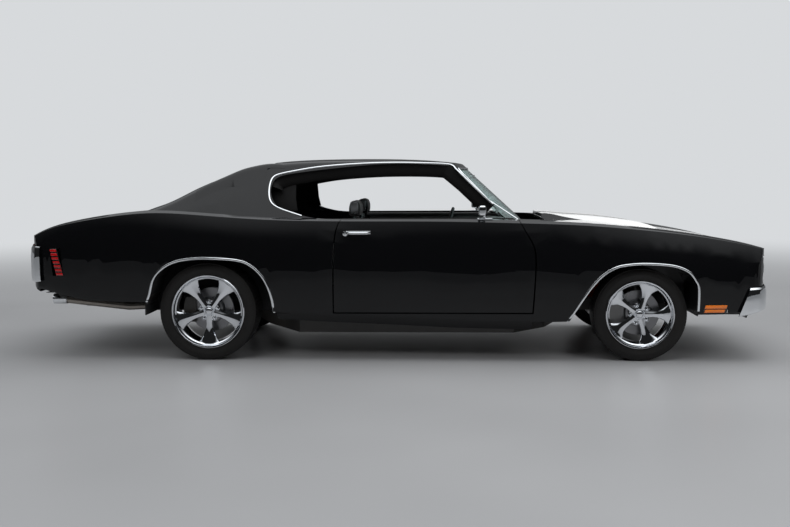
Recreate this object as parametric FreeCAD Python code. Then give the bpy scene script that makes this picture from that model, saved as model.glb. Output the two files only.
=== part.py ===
import FreeCAD, Part
import math
import os

# Two-door hardtop muscle car. Millimetres. +X is the front of the car, +Y its left side, +Z up.
# The origin lies on the floor, below the middle of the overall length and width.

# Driving dimensions of the whole car
overall_length = 5009.0
overall_width = 1915.0
overall_height = 1336.0
wheelbase = 2845.0
front_overhang = 890.0
track_front = 1530.0
track_rear = 1520.0

# Places along the car that the sizes above set
tail_x = -overall_length / 2
nose_x = overall_length / 2
front_axle_x = nose_x - front_overhang
rear_axle_x = front_axle_x - wheelbase
half_width = overall_width / 2

# Wheels and tyres
front_tyre_diameter = 612.0
front_tyre_width = 228.0
front_rim_diameter = 452.0
rear_tyre_diameter = 650.0
rear_tyre_width = 258.0
rear_rim_diameter = 492.0
tyre_tread_thickness = 13.0
tyre_wall_thickness = 10.0
rim_wall = 9.0
rim_lip_width = 16.0
rim_lip_recess = 30.0
spoke_count = 5
tyre_sides = 40
ring_sides = 40
hub_sides = 20
pipe_sides = 10
hub_radius = 62.0
hub_cap_radius = 31.0
spoke_root_width = 56.0
spoke_tip_width = 128.0
spoke_thickness = 26.0
lug_circle_diameter = 120.65
lug_count = 5
lug_radius = 9.5
lug_length = 22.0
front_disc_diameter = 330.0
rear_disc_diameter = 320.0
disc_thickness = 26.0
disc_hat_radius = 82.0
disc_hat_depth = 46.0
spindle_radius = 24.0
bearing_clearance = 0.3

# Sheet metal, gaps and clearances
skin_thickness = 9.0
roof_thickness = 34.0
door_inner_half_width = 790.0
panel_gap = 6.0
seam_gap = 3.0
door_gap = 9.0
moving_clearance = 6.0
seat_gap = 0.3
overrun = 400.0

# Heights of the body, as shares of the overall height, against shares of the length from the tail
ridge_height_shares = (
    (0.0, 0.585), (0.014, 0.612), (0.041, 0.662), (0.061, 0.683), (0.101, 0.712), (0.141, 0.734),
    (0.181, 0.745), (0.211, 0.742), (0.271, 0.727), (0.340, 0.710), (0.420, 0.703), (0.5, 0.702),
    (0.580, 0.700), (0.665, 0.692), (0.726, 0.684), (0.772, 0.674), (0.814, 0.659), (0.860, 0.640),
    (0.905, 0.616), (0.940, 0.592), (0.970, 0.566), (1.0, 0.535),
)
crown_height_shares = (
    (0.0, 0.588), (0.025, 0.652), (0.056, 0.686), (0.097, 0.712), (0.134, 0.730), (0.181, 0.742),
    (0.3, 0.735), (0.5, 0.715), (0.665, 0.702), (0.70, 0.694), (0.763, 0.678), (0.809, 0.660),
    (0.853, 0.636), (0.9, 0.610), (0.959, 0.573), (0.982, 0.552), (1.0, 0.535),
)
sill_height_shares = (
    (0.0, 0.36), (0.041, 0.332), (0.101, 0.274), (0.16, 0.264), (0.342, 0.206), (0.5, 0.178),
    (0.65, 0.156), (0.722, 0.160), (0.80, 0.18), (0.9, 0.208), (0.946, 0.212), (1.0, 0.235),
)

# Widths of the body, as shares of half the overall width, against the same shares of the length
widest_shares = (
    (0.0, 0.900), (0.041, 0.935), (0.101, 0.968), (0.181, 0.992), (0.254, 1.0), (0.340, 0.990),
    (0.420, 0.986), (0.5, 0.987), (0.580, 0.989), (0.665, 0.992), (0.726, 0.996), (0.822, 1.0),
    (0.899, 0.980), (0.940, 0.958), (0.970, 0.935), (1.0, 0.905),
)
ridge_width_shares = (
    (0.0, 0.86), (0.041, 0.885), (0.101, 0.915), (0.211, 0.925), (0.340, 0.912), (0.420, 0.912),
    (0.5, 0.916), (0.665, 0.922), (0.772, 0.922), (0.860, 0.906), (0.940, 0.880), (1.0, 0.84),
)
sill_width_shares = (
    (0.0, 0.87), (0.101, 0.935), (0.254, 0.93), (0.42, 0.905), (0.5, 0.90), (0.665, 0.905),
    (0.822, 0.93), (0.94, 0.915), (1.0, 0.87),
)
body_station_shares = (
    -0.03, 0.0, 0.03, 0.07, 0.12, 0.18, 0.25, 0.33, 0.42, 0.5, 0.58, 0.665, 0.74, 0.82, 0.88,
    0.93, 0.965, 1.0, 1.03,
)
# Corners of the body side, as (share of the way out from sill to widest, share of the rise to the ridge)
body_side_shares = ((0.0, 0.0), (0.80, 0.09), (1.0, 0.30), (1.0, 0.56))
body_haunch_shares = ((0.72, 0.76), (0.34, 0.90), (0.10, 0.975))
ridge_chamfer = 22.0
body_crown_share = 0.62

# Limits of the body in plan and in the side view
bumper_stand_off = 34.0
plan_bow = 42.0
plan_corner_depth = 150.0
plan_corner_bend_share = 0.46
plan_corner_half_width = 905.0
plan_flat_half_width = 770.0
nose_round = 62.0
nose_round_rise = 34.0
nose_bend_share = 0.36
nose_top_z = 728.0
nose_bumper_z = 500.0
nose_foot_z = 300.0
nose_undercut = 170.0
tail_top_z = 790.0
tail_bumper_z = 515.0
tail_foot_z = 430.0
tail_lean = 34.0
tail_undercut = 130.0

# Greenhouse: roof height, and its tumblehome
roof_height_shares = (
    (0.13, 0.70), (0.166, 0.742), (0.2095, 0.808), (0.2305, 0.85), (0.2515, 0.887), (0.2895, 0.945),
    (0.3145, 0.970), (0.3555, 0.990), (0.404, 0.998), (0.452, 1.0), (0.503, 0.998), (0.568, 0.984),
    (0.598, 0.968), (0.65, 0.93), (0.74, 0.86),
)
greenhouse_station_shares = (
    0.14, 0.166, 0.1895, 0.2095, 0.2305, 0.2515, 0.2705, 0.2895, 0.3145, 0.3555, 0.404, 0.452,
    0.503, 0.568, 0.63, 0.70,
)
belt_height = 905.0
belt_half_width = 852.0
rail_height = 1290.0
rail_half_width = 618.0
roof_corner_drop = 40.0
roof_corner_inset = 70.0
roof_corner_shares = ((0.2, 0.42), (0.6, 0.76), (2.2, 0.96), (5.0, 1.0))
greenhouse_foot_depth = 60.0
greenhouse_bulge = 8.0
leaned_reach = 300.0
glass_facets = 14
leaned_depth = 1500.0
window_corner_radius = 60.0

# Windscreen: a surface curved in plan and leaned back along a straight line
windscreen_base_x = 928.0
windscreen_base_z = 880.0
windscreen_top_x = 492.0
windscreen_top_z = 1282.0
windscreen_plan_radius = 2100.0
windscreen_base_half_width = 742.0
windscreen_top_half_width = 562.0
windscreen_opening_bottom_z = 884.0
windscreen_opening_top_z = 1262.0
glass_thickness = 6.0
glass_recess = 7.0

# Backlight, set down between the sail panels
backlight_base_x = -1478.0
backlight_base_z = 985.0
backlight_top_x = -905.0
backlight_top_z = 1302.0
backlight_plan_radius = 1700.0
backlight_base_half_width = 640.0
backlight_top_half_width = 540.0
backlight_opening_bottom_z = 1008.0
backlight_opening_top_z = 1262.0
backlight_recess_half_width = 662.0

# Side window opening
window_sill_z = 934.0
window_front_base_x = 748.0
window_front_top_x = 392.0
window_front_top_z = 1284.0
window_rear_x = -832.0

quarter_corner = 60.0
quarter_rise = 84.0
quarter_start = 60.0
quarter_sweep = 150.0
quarter_top_run = 110.0
quarter_top_drop = 48.0
window_top_run = 900.0
window_top_arch = 22.0

# Door outline
door_front_bow = 66.0
door_front_top_x = 822.0
door_front_waist_x = 938.0
door_front_waist_z = 700.0
door_front_bottom_x = 916.0
door_rear_top_x = -345.0
door_rear_waist_x = -394.0
door_rear_waist_z = 800.0
door_bottom_z = 318.0
door_corner_radius = 60.0
door_swing_x = 850.0
door_swing_y = 918.0
hinge_pin_radius = 6.0
hinge_arm_height = 26.0
hinge_heights = (430.0, 640.0)

# Hood, deck lid and nose
hood_rear_x = 1002.0
hood_half_width = 716.0
nose_seam_top_x = 2392.0
nose_seam_bottom_x = 2352.0
hood_dome_height = 46.0
hood_dome_rear_half_width = 350.0
hood_dome_front_half_width = 250.0
hood_dome_front_x = 1840.0
hood_pivot_x = 1016.0
hood_pivot_z = 862.0
hood_frame_depth = 26.0
deck_front_x = -1588.0
deck_rear_x = -2418.0
deck_half_width = 640.0
deck_pivot_x = -1484.0
deck_pivot_drop = 38.0
deck_frame_depth = 22.0

# Body structure: sills, pillars, cowl and quarter walls, each as (from, to)
sill_x = (-764.2, 910.0)
sill_y = (742.0, 1000.0)
sill_top_z = 318.0
hinge_pillar_x = (882.0, 992.0)
hinge_pillar_y = (684.0, 760.0)
hinge_pillar_z = (256.3, 862.0)
cowl_side_x = (772.0, 992.0)
cowl_side_y = (746.0, 760.0)
cowl_side_z = (300.0, 934.0)
cowl_x = (872.0, 994.0)
cowl_z = (852.0, 862.0)
cowl_opening_top_z = 946.0
quarter_wall_x = (-740.0, -404.0)
quarter_upper_x = (-1104.0, -740.0)
quarter_upper_z = (706.0, 930.0)
quarter_wall_y = (742.0, 754.0)
quarter_wall_z = (300.0, 930.0)
lock_pillar_x = (-418.0, -404.0)
quarter_sill_z = (918.0, 930.0)
door_opening_inner_y = 762.0
door_opening_top_z = 944.0

# Door hinges: arms on the pillar, pins that stand up and down from them, pockets in the door
hinge_arm_root_x = (840.0, 886.0)
hinge_arm_tip_half_width = 11.0
hinge_pocket_x = 831.0
hinge_pocket_y = 935.0
hinge_pocket_clearance = 6.0
hinge_pin_reach = 20.0
hinge_bore_depth = 26.0
hinge_bore_clearance = 0.3

# Hood and deck lid
hood_thickness = 16.0
hood_floor_z = 600.0
deck_floor_z = 700.0
hood_stations_x = (1014.0, 1160.0, 1320.0, 1480.0, 1620.0, 1720.0, 1800.0, 1870.0)
hood_dome_heights = (27.0, 29.0, 30.0, 31.0, 31.0, 27.0, 13.0, -8.0)
hood_dome_half_widths = (352.0, 338.0, 320.0, 302.0, 286.0, 274.0, 262.0, 250.0)
hood_dome_shoulder = 58.0
hood_dome_root = 30.0
hood_hinge_y = (595.0, 605.0)
hood_bracket_y = (613.0, 634.0)
hood_hinge_half_length = 14.0
hood_hinge_root = 60.0
deck_thickness = 14.0
deck_front_gap = 10.0
deck_hinge_y = (444.0, 456.0)
deck_bracket_y = (464.0, 474.0)
deck_bracket_half_length = 16.0
deck_arm_width = 24.0
deck_arm_steps = ((0.0, 0.0), (-20.0, -165.0), (-90.0, -160.0), (-330.0, 4.0))

# Nose, grille, lamps and bumpers
grille_half_width = 830.0
grille_z = (528.0, 684.0)
grille_bar_height = 7.0
grille_bar_count = 6
bow_steps = 8
grille_bar_inset = 14.0
grille_bar_depth = 30.0
grille_back_inset = 62.0
grille_back_thickness = 6.0
grille_inner_half_width = 462.0
grille_centre_bar_height = 24.0
lamp_offsets_y = (558.0, 740.0)
lamp_z = 607.0
lamp_radius = 68.0
lamp_bezel_width = 7.0
lamp_inset = 14.0
lamp_depth = 36.0
lamp_dome_radius = 170.0
bumper_thickness = 14.0
front_bumper_path = (
    (0.0, 0.0, 345.0, 497.0), (6.0, 300.0, 345.0, 497.0), (22.0, 560.0, 345.0, 497.0),
    (46.0, 740.0, 343.0, 495.0), (80.0, 852.0, 338.0, 492.0), (132.0, 908.0, 328.0, 488.0),
    (192.0, 927.0, 314.0, 486.0), (285.0, 933.0, 298.0, 484.0),
)
bumper_profile_shares = ((1.0, 0.0), (0.3, 0.04), (0.0, 0.22), (0.0, 0.7), (0.35, 0.93), (1.0, 1.0))
front_bumper_end_top_x = 2312.0
front_bumper_end_bottom_x = 2232.0
front_bumper_slots = ((0.0, 330.0), (430.0, 790.0))
front_bumper_slot_z = (388.0, 446.0)
front_bumper_slot_corner = 22.0
rear_bumper_path = (
    (0.0, 0.0, 518.0, 772.0), (7.0, 300.0, 518.0, 772.0), (26.0, 560.0, 518.0, 771.0),
    (50.0, 760.0, 518.0, 769.0), (82.0, 858.0, 520.0, 766.0), (122.0, 906.0, 524.0, 762.0),
    (176.0, 926.0, 530.0, 756.0),
)
rear_bumper_end_top_x = -2352.0
rear_bumper_end_bottom_x = -2332.0
tail_lamp_y = (452.0, 806.0)
tail_lamp_z = (604.0, 712.0)
tail_lamp_recess = 4.0
plate_hole_spacing = 178.0
plate_hole_radius = 3.5
plate_hole_z = 570.0
bumper_bracket_y = (430.0, 490.0)
front_bracket_z = (452.0, 480.0)
rear_bracket_z = (560.0, 600.0)
bracket_reach = 130.0
front_marker_x = (2011.0, 2166.0)
front_marker_z = (324.0, 379.0)
rear_marker_low_x = (-2262.0, -2187.0)
rear_marker_slant = 22.0
rear_marker_z = (564.0, 749.0)

# Floor, firewall, shelf and trunk, as sheets of one thickness
sheet = 6.0
floor_z = 256.0
floor_half_width = 741.7
tunnel_half_width = 136.0
tunnel_top_z = 436.0
tunnel_rear_x = -560.0
firewall_x = 994.0
firewall_half_width = 683.7
firewall_top_z = 851.7
seat_pan_x = -560.0
seat_pan_z = 380.0
axle_floor_x = -985.0
axle_floor_z = 566.0
trunk_floor_x = -1500.0
trunk_floor_z = 452.0
trunk_end_x = -2349.3
trunk_half_width = 595.0
shelf_x = (-1478.0, -1104.0)
shelf_z = 884.0
shelf_half_width = 790.0
side_box_z = 600.0
tub_inner_y = (591.0, 599.0)
tub_outer_y = 880.0
tub_grow = (9.0, 17.0)
tub_bottom_z = 300.0
axle_notch_x = (-1330.0, -1130.0)
axle_notch_z = 440.0

# Engine bay
apron_y = (470.0, 478.0)
apron_x = (994.3, 2310.0)
apron_z = (482.3, 738.0)
apron_shelf_y = 722.0
fender_wall_y = (716.0, 722.0)
fender_wall_x = (1012.0, 2300.0)
nose_stay_y = ((400.0, 430.0), (640.0, 660.0))
nose_stay_z = (592.0, 622.0)
liner_y = (478.0, 890.0)
liner_bottom_z = 300.0
support_x = (2310.0, 2318.0)
support_half_width = 690.0
support_z = (330.0, 700.0)
radiator_x = (2240.0, 2312.0)
radiator_half_width = 350.0
radiator_z = (340.0, 690.0)
engine_x = (1150.0, 1830.0)
engine_mount_x = (1560.0, 1660.0)
engine_mount_z = (330.0, 372.0)
engine_half_width = 270.0
engine_z = (300.0, 740.0)
gearbox_x = (430.0, 1150.0)
gearbox_half_width = 110.0
gearbox_z = (262.0, 400.0)
shaft_radius = 36.0
shaft_z = 330.0
air_cleaner_radius = 185.0
air_cleaner_height = 62.0
air_cleaner_x = 1470.0

# Frame: rails as (x, y, z) of the centre of their section, on one side
rail_width = 66.0
rail_height_size = 84.0
front_rail_path = ((2309.7, 415.0, 330.0), (1240.0, 415.0, 330.0), (1030.0, 415.0, 208.0), (800.0, 690.0, 208.0))
side_rail_path = ((800.0, 690.0, 208.0), (-640.0, 690.0, 208.0))
rear_rail_path = (
    (-640.0, 690.0, 208.0), (-860.0, 560.0, 250.0), (-990.0, 541.0, 330.0), (-1110.0, 541.0, 512.0),
    (-1350.0, 541.0, 512.0), (-1488.0, 541.0, 404.0), (-2325.0, 541.0, 404.0),
)
crossmember_height = 60.0
crossmember_width = 90.0
crossmember_places = ((520.0, 220.0, 690.0), (-1055.0, 529.7, 541.0), (-2280.0, 380.0, 541.0))
front_cross_half_length = 190.0
front_cross_half_width = 431.7
front_cross_z = (180.0, 240.0)
pipe_notch_y = (258.0, 342.0)
pipe_notch_z = 232.0
gearbox_pad_half_width = 60.0
gearbox_pad_z = 261.7
arm_bracket_x = (-779.7, -728.0)
arm_bracket_y = (448.0, 590.0)
arm_bracket_z = (250.0, 360.0)
tower_y = (430.0, 612.0)
tower_wall = 22.0
tower_half_length = 150.0
tower_shoulder_y = 524.0
tower_end_half_length = 50.0
tower_z = (330.0, 482.0)
tower_plate = 12.0

# Front suspension and steering knuckles
kingpin_y = 700.0
kingpin_radius = 9.0
kingpin_z = (176.0, 436.0)
lower_arm_z = (190.0, 212.0)
upper_arm_z = (402.0, 422.0)
arm_eye_radius = 16.0
lower_arm_spread = 165.0
lower_arm_root_y = 432.0
upper_arm_spread = 128.0
upper_arm_root_y = 452.3
arm_bar_width = 34.0
spring_radius = 54.0
spring_y = 556.0
upright_x = 30.0
upright_y = (684.0, 715.0)
upright_z = (219.0, 395.0)
spindle_end_y = 812.0
hub_bore_end_y = 822.0
caliper_angle_shares = (0.42, 0.58)
caliper_radii = (104.0, 190.0)
caliper_y = (704.0, 764.0)
caliper_clearance = 5.5
caliper_half_height = 84.0
caliper_bracket_half_height = 36.0

# Wheels: places across the car of the disc, the hub and the spokes' outer face
disc_y = (722.0, 748.0)
hub_y = 804.0
rim_narrowing = 14.0
spoke_tip_inset = 10.0
cap_height = 14.0

# Rear axle
axle_tube_radius = 38.0
axle_tube_end_y = 700.0
differential_radius = 132.0
differential_half_width = 120.0
rear_spring_radius = 44.0
shock_radius = 22.0
shock_foot = (-1252.0, 345.0, 336.0)
shock_head = (-1350.0, 290.0, 548.0)
rear_spring_y = 541.0
trailing_arm_y = 470.0
trailing_arm_x = (-1200.0, -780.0)
trailing_arm_size = 44.0
trailing_arm_front_z = 330.0
caliper_bracket_y = (690.0, 715.0)

# Exhaust and fuel tank
pipe_radius = 28.0
muffler_radius = 46.0
muffler_widening = 2.3
muffler_x = (-640.0, -120.0)
exhaust_path = (
    (1130.0, 300.0, 300.0), (1030.0, 300.0, 206.0), (-700.0, 300.0, 200.0), (-860.0, 380.0, 246.0),
    (-1000.0, 410.0, 330.0), (-1130.0, 420.0, 440.0), (-1330.0, 420.0, 440.0), (-1560.0, 470.0, 328.0),
    (-1840.0, 600.0, 328.0), (-2290.0, 640.0, 384.0),
)
tip_radius = 34.0
tip_wall = 3.0
tip_end_x = -2352.0
tank_x = (-2220.0, -1740.0)
tank_half_width = 360.0
tank_z = (300.0, 445.7)

# Cabin
dash_outline = (
    (871.7, 868.0), (830.0, 892.0), (690.0, 900.0), (610.0, 876.0), (596.0, 820.0), (640.0, 690.0),
    (700.0, 620.0), (760.0, 620.0), (871.7, 800.0),
)
dash_half_width = 745.7
driver_y = 370.0
column_radius = 24.0
column_foot = (860.0, 640.0)
wheel_centre = (352.0, 800.0)
steering_wheel_radius = 188.0
steering_rim_radius = 12.0
steering_hub_radius = 52.0
steering_hub_depth = 34.0
steering_spoke_width = 34.0
steering_spoke_thickness = 7.0
column_gap = 6.0
console_x = (-380.0, 640.0)
console_half_width = 112.0
console_z = (436.3, 520.0)
shifter_x = 180.0
shifter_radius = 7.0
shifter_knob_radius = 24.0
shifter_top_z = 680.0
seat_half_width = 232.0
seat_cushion = (
    (190.0, 330.0), (240.0, 400.0), (222.0, 470.0), (150.0, 490.0), (-180.0, 452.0), (-300.0, 440.0),
    (-330.0, 300.0), (150.0, 290.0),
)
seat_back = (
    (-150.0, 452.0), (-196.0, 560.0), (-262.0, 800.0), (-288.0, 900.0), (-330.0, 918.0), (-376.0, 900.0),
    (-372.0, 780.0), (-320.0, 452.0),
)
seat_base = ((170.0, 256.3), (170.0, 290.0), (-300.0, 300.0), (-300.0, 256.3))
seat_base_half_width = 190.0
headrest = (
    (-236.0, 926.0), (-226.0, 1000.0), (-240.0, 1052.0), (-282.0, 1068.0), (-318.0, 1056.0),
    (-336.0, 1000.0), (-334.0, 930.0), (-300.0, 922.0),
)
headrest_half_width = 140.0
headrest_post_radius = 7.0
headrest_post_y = 60.0
rear_cushion = (
    (-560.3, 380.3), (-560.3, 436.3), (-548.0, 472.0), (-580.0, 512.0), (-660.0, 520.0), (-978.7, 470.0), (-978.7, 380.3),
)
rear_back = (
    (-900.0, 486.0), (-960.0, 640.0), (-1024.0, 830.0), (-1050.0, 872.0), (-1096.0, 876.0),
    (-1103.7, 800.0), (-1103.7, 566.3), (-978.7, 566.3), (-978.7, 475.0),
)
rear_seat_half_width = 590.7

# Mirrors, door handles and wipers
mirror_head_x = (556.0, 604.0)
mirror_head_y = (842.0, 950.0)
mirror_head_z = (958.0, 1022.0)
mirror_corner = 20.0
mirror_foot_x = (552.0, 650.0)
mirror_foot_y = (838.0, 866.0)
mirror_foot_z = (934.3, 944.0)
mirror_stem_x = (572.0, 596.0)
mirror_stem_z = (940.0, 970.0)
handle_x = (-322.0, -148.0)
handle_y = (914.0, 928.0)
handle_z = (836.0, 854.0)
handle_foot_length = 20.0
handle_foot_y = 890.0
lock_x = -284.0
lock_z = 754.0
lock_radius = 12.0
lock_y = (900.0, 938.0)
wiper_pivots_y = (-430.0, 180.0)
wiper_length = 400.0
wiper_radius = 6.0
wiper_x = (942.0, 954.0)
wiper_z = (862.3, 882.0)


def vector(x, y, z):
    return FreeCAD.Vector(x, y, z)


def mirrored(shape):
    """The same shape on the other side of the car."""
    return shape.mirror(vector(0, 0, 0), vector(0, 1, 0))


def both_sides(shape):
    return [shape, mirrored(shape)]


def fused(shapes):
    first = shapes[0]
    rest = shapes[1:]
    return first.fuse(rest).removeSplitter() if rest else first


def smooth_value(points, position):
    """Value at position of a smooth curve through (position, value) points, with no overshoot."""
    if position <= points[0][0]:
        return points[0][1]
    if position >= points[-1][0]:
        return points[-1][1]
    slopes = [(b[1] - a[1]) / (b[0] - a[0]) for a, b in zip(points, points[1:])]
    tangents = [slopes[0]]
    for before, after in zip(slopes, slopes[1:]):
        same_way = before * after > 0
        tangents.append(2 * before * after / (before + after) if same_way else 0.0)
    tangents.append(slopes[-1])
    index = max(i for i, point in enumerate(points[:-1]) if point[0] <= position)
    (x0, v0), (x1, v1) = points[index], points[index + 1]
    span = x1 - x0
    t = (position - x0) / span
    start = v0 * (1 + 2 * t) + tangents[index] * span * t
    end = v1 * (3 - 2 * t) - tangents[index + 1] * span * (1 - t)
    return (1 - t) ** 2 * start + t**2 * end


def length_share(x):
    return (x - tail_x) / overall_length


def height_at(shares, x):
    return smooth_value(shares, length_share(x)) * overall_height


def width_at(shares, x):
    return smooth_value(shares, length_share(x)) * half_width


def spline(points):
    """Cubic curve drawn in by its control points, from the first to the last."""
    curve = Part.BSplineCurve()
    curve.buildFromPoles(points, False, 3)
    return curve.toShape()


def through(points):
    """Smooth curve that passes through its points."""
    curve = Part.BSplineCurve()
    curve.interpolate(points)
    return curve.toShape()


def polygon(points):
    """Closed straight-sided wire."""
    return Part.makePolygon(points + [points[0]])


def prism(wire, direction):
    return Part.Face(wire).extrude(direction)


def box(x0, x1, y0, y1, z0, z1):
    """Block between two corners."""
    return Part.makeBox(x1 - x0, y1 - y0, z1 - z0, vector(x0, y0, z0))


def side_prism(wire, y0, y1):
    """A wire drawn in the side view, at y = 0, pulled from y0 to y1."""
    moved = wire.copy()
    moved.translate(vector(0, y0, 0))
    return prism(moved, vector(0, y1 - y0, 0))


def side_point(x, z):
    return vector(x, 0, z)


def arc(start, middle, end):
    return Part.Arc(start, middle, end).toShape()


def lines(points):
    """Straight edges from each point to the next."""
    return [Part.makeLine(a, b) for a, b in zip(points, points[1:])]


def joined_wire(edges):
    """One closed wire from edges in any order."""
    return Part.Wire(Part.__sortEdges__(edges))


def section(x, half_points):
    """Closed cross-section at x, from corners given for one side as (y, z), the last one inmost."""
    right = [vector(x, -y, z) for y, z in half_points]
    left = [vector(x, y, z) for y, z in reversed(half_points)]
    return polygon(right + left)


def body_section(x, inset, below):
    """Cross-section of the lower body at x, drawn inside the outer skin by inset."""
    sill = height_at(sill_height_shares, x)
    ridge = height_at(ridge_height_shares, x) - inset
    crown = height_at(crown_height_shares, x) - inset
    sill_y = width_at(sill_width_shares, x) - inset
    widest = width_at(widest_shares, x) - inset
    ridge_y = width_at(ridge_width_shares, x) - inset
    corners = []
    for out_share, up_share in body_side_shares:
        corners.append((sill_y + (widest - sill_y) * out_share, sill + (ridge - sill) * up_share))
    corners[0] = (sill_y, sill - below)
    for out_share, up_share in body_haunch_shares:
        corners.append((ridge_y + (widest - ridge_y) * out_share, sill + (ridge - sill) * up_share))
    corners.append((ridge_y - ridge_chamfer, ridge))
    corners.append((ridge_y * body_crown_share, (ridge + crown) / 2))
    corners.append((ridge_y * body_crown_share / 2, crown))
    return section(x, corners)


def plan_limit(inset):
    """Everything between the curved tail and the curved nose in plan."""
    reach = half_width + overrun
    edges = []
    loose_ends = []
    for end, way in ((nose_x - bumper_stand_off - inset, -1), (tail_x + bumper_stand_off + inset, 1)):
        outer = end + way * plan_corner_depth
        bend = end + way * plan_corner_depth * plan_corner_bend_share
        inner = end + way * plan_bow
        wide = plan_corner_half_width - inset
        flat = plan_flat_half_width - inset
        edges.append(Part.makeLine(vector(outer, -reach, 0), vector(outer, -wide, 0)))
        edges.append(arc(vector(outer, -wide, 0), vector(bend, -(wide + flat) / 2, 0), vector(inner, -flat, 0)))
        edges.append(arc(vector(inner, -flat, 0), vector(end, 0, 0), vector(inner, flat, 0)))
        edges.append(arc(vector(inner, flat, 0), vector(bend, (wide + flat) / 2, 0), vector(outer, wide, 0)))
        edges.append(Part.makeLine(vector(outer, wide, 0), vector(outer, reach, 0)))
        loose_ends.append(outer)
    front, rear = loose_ends
    for y in (-reach, reach):
        edges.append(Part.makeLine(vector(front, y, 0), vector(rear, y, 0)))
    return prism(joined_wire(edges), vector(0, 0, overall_height))


def side_limit(inset):
    """Everything inside the side view of the nose and the tail."""
    nose = nose_x - bumper_stand_off - inset
    tail = tail_x + bumper_stand_off + inset
    top = overall_height
    brow = side_point(nose - nose_round, nose_top_z + nose_round_rise)
    bend = side_point(nose - nose_round * nose_bend_share, nose_top_z + nose_round_rise * nose_bend_share)
    lip = side_point(nose, nose_top_z - nose_round_rise)
    front = [lip, side_point(nose, nose_bumper_z), side_point(nose - nose_undercut, nose_foot_z)]
    front.append(side_point(nose - nose_undercut, -overrun))
    rear = [side_point(tail + tail_undercut, -overrun), side_point(tail + tail_undercut, tail_foot_z)]
    rear += [side_point(tail + tail_lean, tail_bumper_z), side_point(tail, tail_top_z), side_point(tail, top)]
    edges = [arc(brow, bend, lip)]
    edges += lines(front + rear + [side_point(brow.x, top), brow])
    return side_prism(joined_wire(edges), -overall_width, overall_width)


def lower_body(inset, below, ruled):
    wires = [body_section(tail_x + share * overall_length, inset, below) for share in body_station_shares]
    skin = Part.makeLoft(wires, True, ruled)
    return skin.common(plan_limit(inset)).common(side_limit(inset))


def greenhouse_section(x, inset):
    """Cross-section of roof, sail panels and pillars at x, drawn inside by inset."""
    roof = height_at(roof_height_shares, x) - inset
    lean = (belt_half_width - rail_half_width) / (rail_height - belt_height)
    rail = min(roof - roof_corner_drop, rail_height - inset)
    rail_y = belt_half_width - lean * (rail - belt_height) - inset
    belt_y = belt_half_width - inset
    corners = [
        (belt_y + lean * greenhouse_foot_depth, belt_height - greenhouse_foot_depth),
        ((belt_y + rail_y) / 2 + greenhouse_bulge, (belt_height + rail) / 2),
        (rail_y, rail),
    ]
    for in_share, up_share in roof_corner_shares:
        corners.append((rail_y - roof_corner_inset * in_share, rail + (roof - rail) * up_share))
    return section(x, corners)


def leaned_block(base_x, base_z, top_x, top_z, plan_radius, block_half_width, toward, shift):
    """Space on the outer side of a glass surface that is round in plan and leans along the car.

    toward is 1 for the windscreen, whose outer side is +X, and -1 for the backlight.
    shift moves the surface along X.
    """
    slope = (top_x - base_x) / (top_z - base_z)
    low_z = base_z - leaned_reach
    high_z = top_z + leaned_reach
    crest = base_x + slope * (low_z - base_z) + shift
    far = crest + toward * leaned_depth
    points = []
    for index in range(glass_facets + 1):
        y = block_half_width * (2 * index / glass_facets - 1)
        points.append(vector(crest - toward * y**2 / (2 * plan_radius), y, low_z))
    wire = polygon(points + [vector(far, block_half_width, low_z), vector(far, -block_half_width, low_z)])
    rise = high_z - low_z
    return prism(wire, vector(slope * rise, 0, rise))


def windscreen_block(shift):
    return leaned_block(
        windscreen_base_x, windscreen_base_z, windscreen_top_x, windscreen_top_z,
        windscreen_plan_radius, half_width, 1, shift,
    )


def backlight_block(shift, side_growth):
    return leaned_block(
        backlight_base_x, backlight_base_z, backlight_top_x, backlight_top_z,
        backlight_plan_radius, backlight_recess_half_width + side_growth, -1, shift,
    )


def greenhouse(inset, ruled):
    wires = [greenhouse_section(tail_x + s * overall_length, inset) for s in greenhouse_station_shares]
    bubble = Part.makeLoft(wires, True, ruled)
    bubble = bubble.cut(windscreen_block(-inset))
    return bubble.cut(backlight_block(inset, inset))


def front_view_prism(low_half, high_half, low_z, high_z, x0, x1):
    """Upright trapezium seen from the front, pulled along the car."""
    wire = polygon([
        vector(x0, -low_half, low_z),
        vector(x0, low_half, low_z),
        vector(x0, high_half, high_z),
        vector(x0, -high_half, high_z),
    ])
    return prism(wire, vector(x1 - x0, 0, 0))


def windscreen_window(inset):
    window = front_view_prism(
        windscreen_base_half_width - inset, windscreen_top_half_width - inset,
        windscreen_opening_bottom_z + inset, windscreen_opening_top_z - inset,
        window_front_top_x - window_corner_radius, nose_x,
    )
    along = [e for e in window.Edges if abs(e.tangentAt(e.FirstParameter).x) > 0.99]
    return window.makeFillet(window_corner_radius, along)


def backlight_window(inset):
    window = front_view_prism(
        backlight_base_half_width - inset, backlight_top_half_width - inset,
        backlight_opening_bottom_z + inset, backlight_opening_top_z - inset,
        tail_x, backlight_top_x + window_corner_radius,
    )
    along = [e for e in window.Edges if abs(e.tangentAt(e.FirstParameter).x) > 0.99]
    return window.makeFillet(window_corner_radius, along)


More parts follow.
